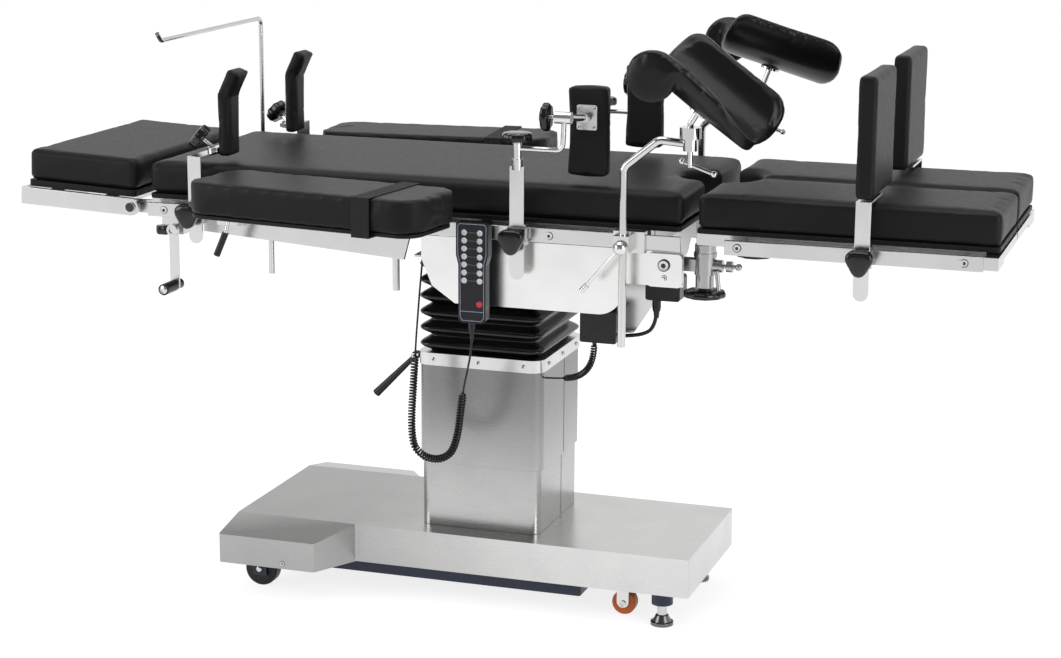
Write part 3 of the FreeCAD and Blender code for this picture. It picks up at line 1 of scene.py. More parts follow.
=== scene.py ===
# %% [markdown]
# # Operating table
# A surgeon's table stands on a heavy steel base. A column lifts the top, a rubber boot
# hides the tilting joint, and the top is a row of padded sections with clamps, arm boards,
# side supports and knee crutches on its rails. The measured solids of the table are
# loaded as a fixed frame, and every piece made below is fitted to them.

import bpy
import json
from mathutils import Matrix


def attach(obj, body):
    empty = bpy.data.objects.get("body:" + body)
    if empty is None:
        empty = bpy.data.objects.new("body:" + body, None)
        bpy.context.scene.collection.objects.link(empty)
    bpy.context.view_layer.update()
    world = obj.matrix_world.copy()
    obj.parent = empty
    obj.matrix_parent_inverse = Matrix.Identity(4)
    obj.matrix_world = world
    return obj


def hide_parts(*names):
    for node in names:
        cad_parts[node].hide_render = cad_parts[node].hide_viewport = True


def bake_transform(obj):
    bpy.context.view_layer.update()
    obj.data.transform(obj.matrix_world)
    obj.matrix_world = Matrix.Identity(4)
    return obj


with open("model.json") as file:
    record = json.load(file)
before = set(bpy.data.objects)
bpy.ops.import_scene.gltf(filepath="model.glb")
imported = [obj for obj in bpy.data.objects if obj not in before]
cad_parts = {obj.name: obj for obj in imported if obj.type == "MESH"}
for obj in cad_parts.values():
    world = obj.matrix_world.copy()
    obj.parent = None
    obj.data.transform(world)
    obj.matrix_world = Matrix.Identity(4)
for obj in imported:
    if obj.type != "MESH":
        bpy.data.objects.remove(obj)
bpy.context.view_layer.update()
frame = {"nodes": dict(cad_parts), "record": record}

# %% Modules and the levels that several pieces share
import json
import math

import bpy
from mathutils import Matrix, Vector

NEAR, FAR = -1, 1
SIDES = {"near": NEAR, "far": FAR}
PAD_TOP, PAD_LOW, PAD_HALF = 0.93, 0.864, 0.26
BACK_END, SEAT_END = -0.753, 0.416
LEG_START, LEG_END = 0.44, 1.038
RAIL_OUT = 0.284
print("mattress top at %.3f m" % PAD_TOP)


# %% Objects and shader nodes
def placed(name, data):
    """A new object in the scene."""
    thing = bpy.data.objects.new(name, data)
    bpy.context.scene.collection.objects.link(thing)
    return thing


def tree(thing):
    """The nodes and the links of a material or a world."""
    return thing.node_tree.nodes, thing.node_tree.links


def dial(node, numbers):
    """Sets inputs of a node by their names."""
    for socket, number in numbers.items():
        node.inputs[socket].default_value = number


def axes(thing, kind):
    """The X, Y and Z outputs of a kind of texture coordinate."""
    nodes, links = tree(thing)
    place, parts = nodes.new("ShaderNodeTexCoord"), nodes.new("ShaderNodeSeparateXYZ")
    links.new(place.outputs[kind], parts.inputs["Vector"])
    return parts.outputs


def ranged(thing, value, start, stop, low, high, kind="SMOOTHSTEP"):
    """Maps a value from start and stop to low and high."""
    nodes, links = tree(thing)
    remap = nodes.new("ShaderNodeMapRange")
    remap.interpolation_type = kind
    dial(remap, {"From Min": start, "From Max": stop, "To Min": low, "To Max": high})
    links.new(value, remap.inputs["Value"])
    return remap.outputs[0]


def combined(thing, operation, *values):
    """One sum with two values."""
    nodes, links = tree(thing)
    result = nodes.new("ShaderNodeMath")
    result.operation = operation
    for value, socket in zip(values, result.inputs):
        links.new(value, socket)
    return result.outputs[0]


def shader_of(finish):
    """The one Principled shader of a finish."""
    return finish.node_tree.nodes["Principled BSDF"]


def new_finish(name, colour, rough, metal=0.0, gloss=0.5):
    """A material with one Principled shader."""
    finish = bpy.data.materials.new(name)
    finish.use_nodes = True
    dial(shader_of(finish), {"Base Color": (*colour, 1), "Roughness": rough, "Metallic": metal,
                             "Specular IOR Level": gloss})
    return finish


print("node helpers ready")

# %% [markdown]
# ## Camera, floor and light
# The camera stands where the photographer stood, a little above the mattress and to the
# foot end's side, with a long lens. Its direction is given by two turns and a slight roll,
# and the three axes of the camera are worked out from them. The light is a pale room with
# three large soft lamps. The white ground comes from the light path, so it adds no light.
# Mirrored rays see the same white room, a little darker on the side where the lamps stand,
# so that polished steel shows form instead of one even white.

# %% Camera
YAW, PITCH, ROLL = math.radians(18.33), math.radians(12.9), math.radians(0.35)
forward = Vector((-math.sin(YAW) * math.cos(PITCH), math.cos(YAW) * math.cos(PITCH), -math.sin(PITCH)))
level = Vector((math.cos(YAW), math.sin(YAW), 0))
upright = level.cross(forward)
right = math.cos(ROLL) * level + math.sin(ROLL) * upright
up = -math.sin(ROLL) * level + math.cos(ROLL) * upright
camera = placed("camera", bpy.data.cameras.new("camera"))
camera.data.lens = 79.97
camera.data.sensor_width = 36
camera.data.sensor_fit = "HORIZONTAL"
camera.matrix_world = Matrix.Translation((1.56493, -4.67172, 1.70072)) @ Matrix(
    (right, up, -forward)).transposed().to_4x4()
bpy.context.scene.camera = camera
bpy.context.scene.view_settings.view_transform = "Standard"
print("camera looks along", [round(v, 3) for v in forward])


# %% A white ground for the eye and for reflections
def seen_directly(thing):
    """A value of 1 for camera, mirror and glass rays, and 0 for the light they gather."""
    path = thing.node_tree.nodes.new("ShaderNodeLightPath").outputs
    mirrored_too = combined(thing, "MAXIMUM", path["Is Camera Ray"], path["Is Glossy Ray"])
    return combined(thing, "MAXIMUM", mirrored_too, path["Is Transmission Ray"])


room = bpy.data.worlds.new("pale_room")
room.use_nodes = True
nodes, links = tree(room)
ambient = nodes["Background"]
dial(ambient, {"Color": (0.93, 0.96, 1.0, 1), "Strength": 0.5})
white = nodes.new("ShaderNodeBackground")
dial(white, {"Color": (1, 1, 1, 1)})
direction = axes(room, "Generated")
lamp_side = ranged(room, direction["Y"], -0.75, 0.35, 0.27, 1.0)
overhead = ranged(room, direction["Z"], 0.25, 0.85, 1.0, 0.42)
shade = combined(room, "MULTIPLY", lamp_side, overhead)
eye = nodes.new("ShaderNodeLightPath").outputs["Is Camera Ray"]
links.new(combined(room, "MAXIMUM", shade, eye), white.inputs["Strength"])
both = nodes.new("ShaderNodeMixShader")
links.new(seen_directly(room), both.inputs["Fac"])
links.new(ambient.outputs[0], both.inputs[1])
links.new(white.outputs[0], both.inputs[2])
links.new(both.outputs[0], nodes["World Output"].inputs["Surface"])
bpy.context.scene.world = room
print("room:", room.name)

# %% Floor
bpy.ops.mesh.primitive_plane_add(size=24, location=(0, 0, 0))
floor = bpy.context.object
floor.name = "floor"
paper = new_finish("white_paper", (0.4, 0.4, 0.4), 0.9, gloss=0.0)
nodes, links = tree(paper)
glow = nodes.new("ShaderNodeEmission")
dial(glow, {"Color": (0.81, 0.81, 0.81, 1)})
links.new(seen_directly(paper), glow.inputs["Strength"])
add = nodes.new("ShaderNodeAddShader")
links.new(shader_of(paper).outputs[0], add.inputs[0])
links.new(glow.outputs[0], add.inputs[1])
links.new(add.outputs[0], nodes["Material Output"].inputs["Surface"])
floor.data.materials.append(paper)
print("floor laid")


# %% Soft lamps
def soft_lamp(name, at, towards, size, power):
    """A square lamp that faces a point of the table."""
    lamp = bpy.data.lights.new(name, "AREA")
    lamp.shape = "RECTANGLE"
    lamp.size, lamp.size_y = size
    lamp.energy = power
    holder = placed(name, lamp)
    holder.location = at
    holder.rotation_euler = (Vector(towards) - Vector(at)).to_track_quat("-Z", "Y").to_euler()


soft_lamp("overhead", (0.1, -0.3, 3.6), (0.1, 0, 0.8), (3.4, 2.4), 70)
soft_lamp("window_left", (-3.2, -2.6, 2.0), (0, 0, 0.7), (2.2, 2.2), 62)
soft_lamp("window_right", (3.4, -1.6, 1.6), (0, 0, 0.7), (1.2, 2.4), 40)
print("lamps:", len(bpy.data.lights))

# %% [markdown]
# ## Finishes
# Each finish is a Principled shader with its own small pattern, in the object's own
# coordinates, so the pattern keeps its real size in millimetres. Brushed steel is a noise
# stretched along the brushing, leatherette is a fine pebble grain with broad soft waves,
# and mouldings have a slight orange-peel skin.


# %% The parts that every finish is made of
def pattern(finish, size, stretch=(1, 1, 1), kind="NOISE", detail=3.0):
    """Noise or cells whose features are about size metres, longer along a stretch."""
    nodes, links = tree(finish)
    place = nodes.new("ShaderNodeTexCoord")
    mapping = nodes.new("ShaderNodeMapping")
    dial(mapping, {"Scale": [1 / (size * s) for s in stretch]})
    links.new(place.outputs["Object"], mapping.inputs["Vector"])
    if kind == "NOISE":
        texture = nodes.new("ShaderNodeTexNoise")
        dial(texture, {"Detail": detail})
    else:
        texture = nodes.new("ShaderNodeTexVoronoi")
    dial(texture, {"Scale": 1.0})
    links.new(mapping.outputs["Vector"], texture.inputs["Vector"])
    return texture.outputs["Fac" if kind == "NOISE" else "Distance"]


def spread(finish, value, low, high):
    """Lets a pattern move the roughness between two limits."""
    rough = ranged(finish, value, 0.3, 0.7, low, high, "LINEAR")
    finish.node_tree.links.new(rough, shader_of(finish).inputs["Roughness"])


def tint(finish, value, dark, light, start=0.3, stop=0.7):
    """Lets a pattern move the colour between two tones."""
    nodes, links = tree(finish)
    ramp = nodes.new("ShaderNodeValToRGB")
    for end, place, colour in zip(ramp.color_ramp.elements, (start, stop), (dark, light)):
        end.position = place
        end.color = (*colour, 1)
    links.new(value, ramp.inputs["Fac"])
    links.new(ramp.outputs["Color"], shader_of(finish).inputs["Base Color"])


def relief(finish, value, depth, strength=1.0, before=None):
    """Raises the surface by a pattern, by a depth in metres; reliefs can follow each other."""
    nodes, links = tree(finish)
    bump = nodes.new("ShaderNodeBump")
    dial(bump, {"Distance": depth, "Strength": strength})
    links.new(value, bump.inputs["Height"])
    if before is not None:
        links.new(before.outputs["Normal"], bump.inputs["Normal"])
    links.new(bump.outputs["Normal"], shader_of(finish).inputs["Normal"])
    return bump


print("finish helpers ready")


# %% Steel
HAIR = 0.0005


def steel(name, tone, rough, along, depth=0.00001):
    """Stainless steel brushed along one direction, with faint cloudy marks."""
    finish = new_finish(name, (tone, tone, tone * 0.985), rough, metal=1.0)
    stretch = {"X": (160, 1, 1), "Z": (1, 1, 160), "LEVEL": (160, 160, 1)}[along]
    hairs = pattern(finish, HAIR, stretch)
    clouds = pattern(finish, 0.09, detail=4.0)
    spread(finish, hairs, rough * 0.85, rough * 1.15)
    tint(finish, clouds, (tone * 0.95, tone * 0.95, tone * 0.94), (tone * 1.03, tone * 1.03, tone * 1.01))
    relief(finish, hairs, depth)
    return finish


def painted_shade_along(finish, axis, start, stop, low, high):
    """Paints shade into the colour along one axis: steel mirrors the bright floor and the dark table."""
    nodes, links = tree(finish)
    colour = shader_of(finish).inputs["Base Color"]
    scale = nodes.new("ShaderNodeVectorMath")
    scale.operation = "SCALE"
    links.new(colour.links[0].from_socket, scale.inputs[0])
    along = axes(finish, "Object")[axis]
    links.new(ranged(finish, along, start, stop, low, high), scale.inputs["Scale"])
    links.new(scale.outputs[0], colour)


brushed_base = steel("brushed_base", 0.56, 0.27, "X", depth=0.000006)
brushed_column = steel("brushed_column", 0.42, 0.28, "LEVEL", depth=0.000006)
brushed_bar = steel("brushed_bar", 0.62, 0.24, "X")
polished_plate = steel("polished_plate", 0.78, 0.22, "X")
bright_rod = steel("bright_rod", 0.58, 0.08, "Z", depth=0.000004)
strap_steel = steel("strap_steel", 0.66, 0.22, "Z")
satin_joint = steel("satin_joint", 0.4, 0.26, "Z")
dark_foot = steel("dark_foot", 0.16, 0.28, "LEVEL")
# Painted shade and reflection: the base is darker towards its head end, and the column darker towards its top,
# under the dark table.
painted_shade_along(brushed_base, "X", -0.45, 0.25, 0.66, 1.12)
painted_shade_along(brushed_column, "Z", 0.2, 0.5, 1.1, 0.5)
cast_grey = new_finish("cast_grey", (0.36, 0.37, 0.38), 0.42, metal=0.7)
relief(cast_grey, pattern(cast_grey, 0.003), 0.0001)
spread(cast_grey, pattern(cast_grey, 0.02), 0.35, 0.55)
print("steels:", [m.name for m in bpy.data.materials if m.name.startswith("br")])


# %% Leatherette, boards and webbing
def leatherette(name, tone, rough, gloss, wave, coat=0.0):
    """Vinyl cover: a pebble grain, soft waves from the foam below, and a worn sheen."""
    finish = new_finish(name, (tone, tone, tone * 1.06), rough, gloss=gloss)
    pebbles = pattern(finish, 0.0011, kind="CELLS")
    waves = pattern(finish, 0.055, detail=2.0)
    fine = pattern(finish, 0.012, detail=3.0)
    tint(finish, waves, (tone * 0.93, tone * 0.93, tone * 0.99), (tone * 1.07, tone * 1.07, tone * 1.13))
    spread(finish, fine, rough * 0.95, rough * 1.05)
    first = relief(finish, waves, wave)
    relief(finish, pebbles, 0.00006, 0.5, before=first)
    dial(shader_of(finish), {"Coat Weight": coat, "Coat Roughness": 0.16, "Sheen Weight": 0.02,
                             "Sheen Roughness": 0.4})
    return finish


cover_black = leatherette("cover_black", 0.0105, 0.44, 0.14, 0.0003)
cover_gloss = leatherette("cover_gloss", 0.006, 0.3, 0.24, 0.0001, coat=0.03)
board_black = new_finish("board_black", (0.007, 0.007, 0.008), 0.45, gloss=0.2)
spread(board_black, pattern(board_black, 0.01), 0.42, 0.6)
relief(board_black, pattern(board_black, 0.0015), 0.00005)
webbing = new_finish("webbing", (0.016, 0.016, 0.017), 0.75, gloss=0.2)
weave = pattern(webbing, 0.0016, kind="CELLS")
relief(webbing, weave, 0.0005)
tint(webbing, weave, (0.01, 0.01, 0.011), (0.03, 0.03, 0.032), 0.1, 0.9)
print("covers ready")


# %% Mouldings, rubber and paint
def moulding(name, colour, rough, skin=0.00008, grain=0.002, gloss=0.5, coat=0.0):
    """Moulded plastic, rubber or paint with a fine skin and a slightly uneven gloss."""
    finish = new_finish(name, colour, rough, gloss=gloss)
    spread(finish, pattern(finish, 0.015), rough * 0.85, rough * 1.2)
    relief(finish, pattern(finish, grain), skin)
    dial(shader_of(finish), {"Coat Weight": coat})
    return finish


knob_black = moulding("knob_black", (0.006, 0.006, 0.007), 0.16, skin=0.00003, gloss=0.4, coat=0.1)
box_black = moulding("box_black", (0.008, 0.008, 0.009), 0.3, gloss=0.35)
boot_rubber = moulding("boot_rubber", (0.005, 0.005, 0.006), 0.2, skin=0.00002, grain=0.008, gloss=0.4)
cord_rubber = moulding("cord_rubber", (0.007, 0.007, 0.008), 0.34, skin=0.00002, gloss=0.35)
tyre_black = moulding("tyre_black", (0.012, 0.012, 0.014), 0.4, gloss=0.3)
tyre_orange = moulding("tyre_orange", (0.78, 0.17, 0.03), 0.4)
navy_paint = moulding("navy_paint", (0.01, 0.018, 0.05), 0.38, grain=0.006)
case_black = moulding("case_black", (0.008, 0.008, 0.012), 0.22, skin=0.00003, gloss=0.3)
panel_line = moulding("panel_line", (0.3, 0.34, 0.45), 0.35)
key_white = moulding("key_white", (0.78, 0.79, 0.8), 0.35)
key_red = moulding("key_red", (0.65, 0.03, 0.05), 0.3)
# A dark finish for the pivot caps and knuckle rings, and painted shade in screw sockets, screw gap rings and
# column seams.
dark_and_painted_shade = moulding("dark_and_painted_shade", (0.03, 0.03, 0.03), 0.6)
POLISHED, BRUSHED = "steel_polished", "steel_brushed"
print("finishes:", len(bpy.data.materials))

# %% [markdown]
# ## Maker's helpers
# A piece of sheet metal or turned steel is right in the solids, but its edges are knife
# sharp, and a sharp edge never shows the thin light line that a real one has. So a copy of
# the solid is merged, its flat faces are joined up again, and its edges are eased with the
# Bevel modifier. A finished piece gets its material, its body and the solids it stands for.


# %% Picking, editing, copying and easing
def pick_only(*pieces):
    """Selects these objects alone, with the first one active."""
    bpy.ops.object.select_all(action="DESELECT")
    for piece in pieces:
        piece.select_set(True)
    bpy.context.view_layer.objects.active = pieces[0]


def edit(choose):
    """Opens the active mesh for editing, with all or none of it chosen."""
    bpy.ops.object.mode_set(mode="EDIT")
    bpy.ops.mesh.select_all(action=choose)


def close():
    """Ends the editing."""
    bpy.ops.object.mode_set(mode="OBJECT")


def modify(piece, kind, **settings):
    """Adds a modifier with these settings."""
    modifier = piece.modifiers.new(kind.lower(), kind)
    for name, value in settings.items():
        setattr(modifier, name, value)


def apply_all(piece):
    """Applies every modifier of a piece."""
    pick_only(piece)
    for modifier in list(piece.modifiers):
        bpy.ops.object.modifier_apply(modifier=modifier.name)


def smooth(piece, angle=None):
    """Shades a piece smoothly, or only where its faces meet at less than an angle in degrees."""
    pick_only(piece)
    if angle:
        bpy.ops.object.shade_smooth_by_angle(angle=math.radians(angle))
    else:
        bpy.ops.object.shade_smooth()
    return piece


def ease(piece, width=0.0008, segments=2, sharp=35):
    """Rounds the sharp edges slightly and smooths the shading between them."""
    modify(piece, "BEVEL", width=width, segments=segments, limit_method="ANGLE",
           angle_limit=math.radians(sharp))
    modify(piece, "WEIGHTED_NORMAL", keep_sharp=True)
    smooth(piece, sharp + 5)
    apply_all(piece)
    return piece


def cut_away(piece, tool):
    """Takes one piece out of another."""
    modify(piece, "BOOLEAN", object=tool, operation="DIFFERENCE", solver="EXACT")
    apply_all(piece)
    bpy.data.objects.remove(tool)


def copy_of(node, name):
    """A copy of a solid as a new piece, with its corners merged and its flat faces joined."""
    piece = placed(name, frame["nodes"][node].data.copy())
    piece.data.materials.clear()
    pick_only(piece)
    edit("SELECT")
    bpy.ops.mesh.remove_doubles(threshold=0.00002)
    bpy.ops.mesh.dissolve_limited(angle_limit=math.radians(1.0))
    close()
    return piece


def loose_parts(node, name):
    """Copies of the separate solids of a node, each as its own piece."""
    whole = copy_of(node, name)
    pick_only(whole)
    bpy.ops.mesh.separate(type="LOOSE")
    return list(bpy.context.selected_objects)


def reach(piece):
    """Lowest and highest corner of a piece."""
    points = [v.co for v in piece.data.vertices]
    return (Vector([min(p[i] for p in points) for i in range(3)]),
            Vector([max(p[i] for p in points) for i in range(3)]))


def join(pieces, name):
    """Several pieces as one."""
    pick_only(*pieces)
    if len(pieces) > 1:
        bpy.ops.object.join()
    bpy.context.object.name = name
    return bpy.context.object


def fit(piece, finish, slot, body, *nodes):
    """Material, body, and the solids that the piece stands for; the slot argument is not used."""
    piece.data.materials.clear()
    piece.data.materials.append(finish)
    if body is not None:
        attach(piece, body)
    if nodes:
        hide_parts(*nodes)
    return piece


def paint(piece, finish, where):
    """Gives a second finish to the faces whose middle passes a test."""
    piece.data.materials.append(finish)
    number = len(piece.data.materials) - 1
    for face in piece.data.polygons:
        if where(face.center):
            face.material_index = number


def body_of(node):
    """The body that carries a node."""
    for body, members in frame["record"]["behaviour"]["bodies"].items():
        if node in members:
            return body


def dressed(node, finish, slot, width=0.0008, **more):
    """A copy of a whole solid with eased edges, which stands for it."""
    piece = ease(copy_of(node, node + "_piece"), width, **more)
    return fit(piece, finish, slot, body_of(node), node)


print("helpers ready")


# %% Blocks, discs, rods and knobs
def settle(name):
    """Names the new object and bakes its place into its mesh."""
    piece = bpy.context.object
    piece.name = name
    bpy.ops.object.transform_apply(location=True, rotation=True, scale=True)
    return piece


def box_between(name, x, y, z):
    """A plain block between two limits on each axis."""
    bpy.ops.mesh.primitive_cube_add(size=1, location=[(pair[0] + pair[1]) / 2 for pair in (x, y, z)],
                                    scale=[abs(pair[1] - pair[0]) for pair in (x, y, z)])
    return settle(name)


def block(name, x, y, z, width=0.001, segments=2):
    """A block between two limits on each axis, with eased edges."""
    return ease(box_between(name, x, y, z), width, segments)


def raised(rise, scale, centre):
    """Extrudes the chosen faces upwards, and then widens them about a centre."""
    bpy.ops.mesh.extrude_region_move(TRANSFORM_OT_translate={"value": (0, 0, rise)})
    bpy.ops.transform.resize(value=(scale, scale, 1), center_override=(0, 0, centre))


def stood(piece, at, direction):
    """Closes the editing, and moves a piece that was made upright to a place and a direction."""
    bpy.ops.mesh.select_all(action="SELECT")
    bpy.ops.mesh.normals_make_consistent(inside=False)
    close()
    piece.data.transform(Matrix.Translation(at) @ direction.to_track_quat("Z", "Y").to_matrix().to_4x4())
    return piece


def turned_bar(name, start, end, profile, sides=32):
    """A turned part between two points: profile is a list of (share of length, radius)."""
    start, axis = Vector(start), Vector(end) - Vector(start)
    bpy.ops.mesh.primitive_circle_add(vertices=sides, radius=profile[0][1], fill_type="NGON",
                                      location=(0, 0, profile[0][0] * axis.length))
    piece = settle(name)
    edit("SELECT")
    for (before, wide), (along, radius) in zip(profile, profile[1:]):
        raised((along - before) * axis.length, radius / wide, along * axis.length)
    return stood(piece, start, axis)


def lobed_grip(name, centre, outward, lobes, radius, swell, depth, turn=0.0):
    """A hand knob: a wavy disc with rounded rims, drawn from a circle and extruded."""
    bpy.ops.mesh.primitive_circle_add(vertices=48, radius=1.0, fill_type="NGON")
    piece = settle(name)
    for corner in piece.data.vertices:
        angle = math.atan2(corner.co.y, corner.co.x)
        wide = radius + swell * math.cos(lobes * (angle - turn))
        corner.co = (wide * math.cos(angle), wide * math.sin(angle), 0)
    edit("SELECT")
    for rise, scale in ((0.1, 1.06), (0.12, 1.03), (0.46, 1.0), (0.18, 0.95), (0.1, 0.86), (0.04, 0.7)):
        raised(rise * depth, scale, 0)
    return smooth(stood(piece, Vector(centre), Vector(outward).normalized()))


def grip(body, *shape, **more):
    """A black hand knob on a body."""
    fit(lobed_grip(*shape, **more), knob_black, "black_plastic", body)


print("shapes ready")

# %% [markdown]
# ## Cords
# Three black cords hang at the near side: the hand control's curly lead, which dips in a
# loop beside the column, the short lead between the control box and the column, and the
# cable between the boxes. Each follows one smooth spline through the points of its route.
# A curly lead is one thin cord wound into a helix round that spline, and the winding fades
# out where the lead runs plain.


# %% Following a route
def line_mesh(name, points, kind, curve_settings, spline_settings):
    """The mesh of a curve that runs along points."""
    line = bpy.data.curves.new(name, "CURVE")
    line.dimensions = "3D"
    spline = line.splines.new(kind)
    spline.points.add(len(points) - 1)
    for knot, point in zip(spline.points, points):
        knot.co = (*point, 1)
    for thing, settings in ((line, curve_settings), (spline, spline_settings)):
        for setting, value in settings.items():
            setattr(thing, setting, value)
    holder = placed(name + "_line", line)
    bpy.context.view_layer.update()
    mesh = bpy.data.meshes.new_from_object(holder)
    bpy.data.objects.remove(holder)
    return mesh


def route_line(name, points):
    """Evenly spaced points along the spline that a route's points control."""
    mesh = line_mesh(name, points, "NURBS", {"resolution_u": 24}, {"order_u": 3, "use_endpoint_u": True})
    found = [v.co.copy() for v in mesh.vertices]
    bpy.data.meshes.remove(mesh)
    return found


def stepped(line, step):
    """The same line with points a step apart."""
    out, left = [line[0].copy()], step
    for a, b in zip(line, line[1:]):
        run = (b - a).length
        while run > 0 and left <= run:
            a = a + (b - a) * (left / run)
            run = (b - a).length
            out.append(a.copy())
            left = step
        left -= run
    out.append(line[-1].copy())
    return out


def wound(line, first, last, radius, pitch, fade):
    """A helix round the stretch of a line between two lengths; plain elsewhere."""
    step = pitch / 14
    points = stepped(line, step)
    side = (points[1] - points[0]).orthogonal().normalized()
    out = []
    for number, point in enumerate(points):
        ahead = points[min(number + 1, len(points) - 1)] - points[max(number - 1, 0)]
        ahead.normalize()
        side = (side - ahead * side.dot(ahead)).normalized()
        along = number * step
        share = max(0.0, min(1.0, (along - first) / fade, (last - along) / fade))
        reach_out = radius * share * share * (3 - 2 * share)
        angle = 2 * math.pi * along / pitch
        out.append(point + reach_out * (math.cos(angle) * side + math.sin(angle) * ahead.cross(side)))
    return out


def skin(name, points, radius, sides=8):
    """A round cord as a mesh tube round its points, closed at both ends."""
    return smooth(placed(name, line_mesh(name, points, "POLY", {
        "bevel_depth": radius, "bevel_resolution": max(0, sides // 4 - 1), "use_fill_caps": True}, {})))


def long_of(points):
    """The length of a line of points."""
    return sum((b - a).length for a, b in zip(points, points[1:]))


print("cord helpers ready")

# %% The curly leads
def curly_lead(name, node, route, first, last, radius, pitch, fade, thick):
    """A wire wound round its route between two lengths, with its cover and its cord facts."""
    line = route_line(name, route)
    curl = wound(line, first, last, radius, pitch, fade)
    lead = fit(skin(name, curl, thick / 2), cord_rubber, "black_rubber", "seat", node)
    print("%s: route %.3f m, wire %.3f m" % (name, long_of(line), long_of(curl)))
    long_of(curl)


curly_lead("handset_lead", "handset_cord", [
    (-0.006, -0.306, 0.6377), (-0.006, -0.306, 0.6), (-0.018, -0.302, 0.545), (-0.028, -0.3, 0.505),
    (-0.044, -0.294, 0.3835), (-0.0755, -0.29, 0.352), (-0.12, -0.285, 0.352), (-0.1515, -0.281, 0.3835),
    (-0.147, -0.262, 0.548), (-0.146, -0.256, 0.6), (-0.144, -0.248, 0.66), (-0.142, -0.24, 0.716),
    (-0.138, -0.236, 0.768), (-0.138, -0.236, 0.8145),
], 0.135, 0.565, 0.0064, 0.0061, 0.012, 0.0044)
curly_lead("link_lead", "power_cords", [
    (0.205, -0.148, 0.6005), (0.205, -0.148, 0.56), (0.183, -0.14, 0.522), (0.143, -0.128, 0.504),
    (0.0885, -0.118, 0.5),
], 0.008, 0.14, 0.0054, 0.0056, 0.01, 0.004)

# %% The cable between the boxes
BOX_ROUTE = [(0.336, -0.148, 0.6735), (0.336, -0.148, 0.642), (0.312, -0.146, 0.614), (0.264, -0.145, 0.61)]
line = route_line("box_route", BOX_ROUTE)
box_cable = skin("box_cable", line, 0.004, sides=16)
fit(box_cable, cord_rubber, "black_rubber", "seat", "power_cords")
long_of(line)
print("box cable %.3f m" % long_of(line))

# %% Strain reliefs
reliefs = (
    ("handset_relief", -0.006, -0.306, 0.652, 0.612,
     [(0, 0.0066), (0.3, 0.0064), (0.36, 0.005), (0.6, 0.0042), (0.98, 0.0032), (1, 0.0026)]),
    ("link_relief", 0.205, -0.148, 0.603, 0.584, [(0, 0.0075), (0.4, 0.007), (0.55, 0.005), (1, 0.0034)]),
    ("box_relief", 0.336, -0.148, 0.676, 0.654, [(0, 0.0085), (0.3, 0.0082), (0.45, 0.0062), (1, 0.0052)]),
)
for name, x, y, top, foot, profile in reliefs:
    fit(ease(turned_bar(name, (x, y, top), (x, y, foot), profile), 0.0003), cord_rubber, "black_rubber", "seat")
print("strain reliefs:", len(reliefs))

# %% [markdown]
# ## Cushions
# Every section carries a firm foam cushion in a black vinyl cover. A cushion like this is
# nearly a box, but its faces belly out a little between the edges and its rims are soft.
# A box with rounded edges is woven into an even net, blown up a few millimetres as cloth
# with air pressure inside, and held to the space that the cushion really has.


# %% Rounded foam blocks
def foam(name, x, y, z, corner, rim):
    """A foam block: upright edges rounded by corner, the rims by rim."""
    piece = box_between(name, x, y, z)
    edit("DESELECT")
    close()
    for edge in piece.data.edges:
        a, b = (piece.data.vertices[i].co for i in edge.vertices)
        edge.select = abs(a.z - b.z) > 0.5 * (b - a).length
    bpy.ops.object.mode_set(mode="EDIT")
    bpy.ops.mesh.select_mode(type="EDGE")
    bpy.ops.mesh.bevel(offset=corner, segments=8, affect="EDGES")
    close()
    modify(piece, "BEVEL", width=rim, segments=5, limit_method="ANGLE", angle_limit=math.radians(50))
    apply_all(piece)
    return piece


def scoop(piece, centre, radius):
    """Cuts an upright round opening into a piece."""
    bpy.ops.mesh.primitive_cylinder_add(vertices=96, radius=radius, depth=0.4, location=(*centre, PAD_TOP))
    cut_away(piece, settle("cutter"))


def stuff(piece, swell, voxel=0.006, soften=2, limits=None, form=None):
    """Weaves a cushion into an even net, and blows it up by at most swell."""
    low, high = limits or reach(piece)
    modify(piece, "DISPLACE", strength=-0.0015, mid_level=0)
    modify(piece, "REMESH", mode="VOXEL", voxel_size=voxel)
    modify(piece, "SMOOTH", factor=0.5, iterations=soften)
    apply_all(piece)
    if form:
        for corner in piece.data.vertices:
            corner.co = form(corner.co)
        modify(piece, "SMOOTH", factor=0.5, iterations=8)
        apply_all(piece)
    before = [v.co.copy() for v in piece.data.vertices]
    cloth = piece.modifiers.new("cover", "CLOTH")
    cloth.settings.quality = 3
    cloth.settings.use_pressure = True
    cloth.settings.uniform_pressure_force = 4
    cloth.settings.effector_weights.gravity = 0
    cloth.collision_settings.use_collision = False
    for number in range(1, 21):
        bpy.context.scene.frame_set(number)
    apply_all(piece)
    bpy.context.scene.frame_set(1)
    for corner, start in zip(piece.data.vertices, before):
        move = corner.co - start
        if move.length > swell:
            corner.co = start + move * (swell / move.length)
    for corner in piece.data.vertices:
        for axis in range(3):
            corner.co[axis] = min(max(corner.co[axis], low[axis]), high[axis])
    return smooth(piece)


def mirrored(piece, name):
    """The same piece on the other side of the table."""
    other = placed(name, piece.data.copy())
    other.data.transform(Matrix.Scale(-1, 4, (0, 1, 0)))
    pick_only(other)
    edit("SELECT")
    bpy.ops.mesh.flip_normals()
    close()
    return other


print("cushion helpers ready")

# %% The mattress of the back and the seat
CUSHION_RIM = 0.009
mattress = foam("mattress", (BACK_END, SEAT_END), (-PAD_HALF, PAD_HALF), (PAD_LOW, PAD_TOP), 0.016, CUSHION_RIM)
scoop(mattress, (SEAT_END, 0), 0.066)
stuff(mattress, 0.004, limits=((BACK_END, -PAD_HALF, PAD_LOW), (SEAT_END, PAD_HALF, PAD_TOP + 0.003)))
fit(mattress, cover_black, "cushion", None, "back_pad", "seat_pad", "fold_pad")
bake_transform(mattress)
print("mattress corners:", len(mattress.data.vertices))

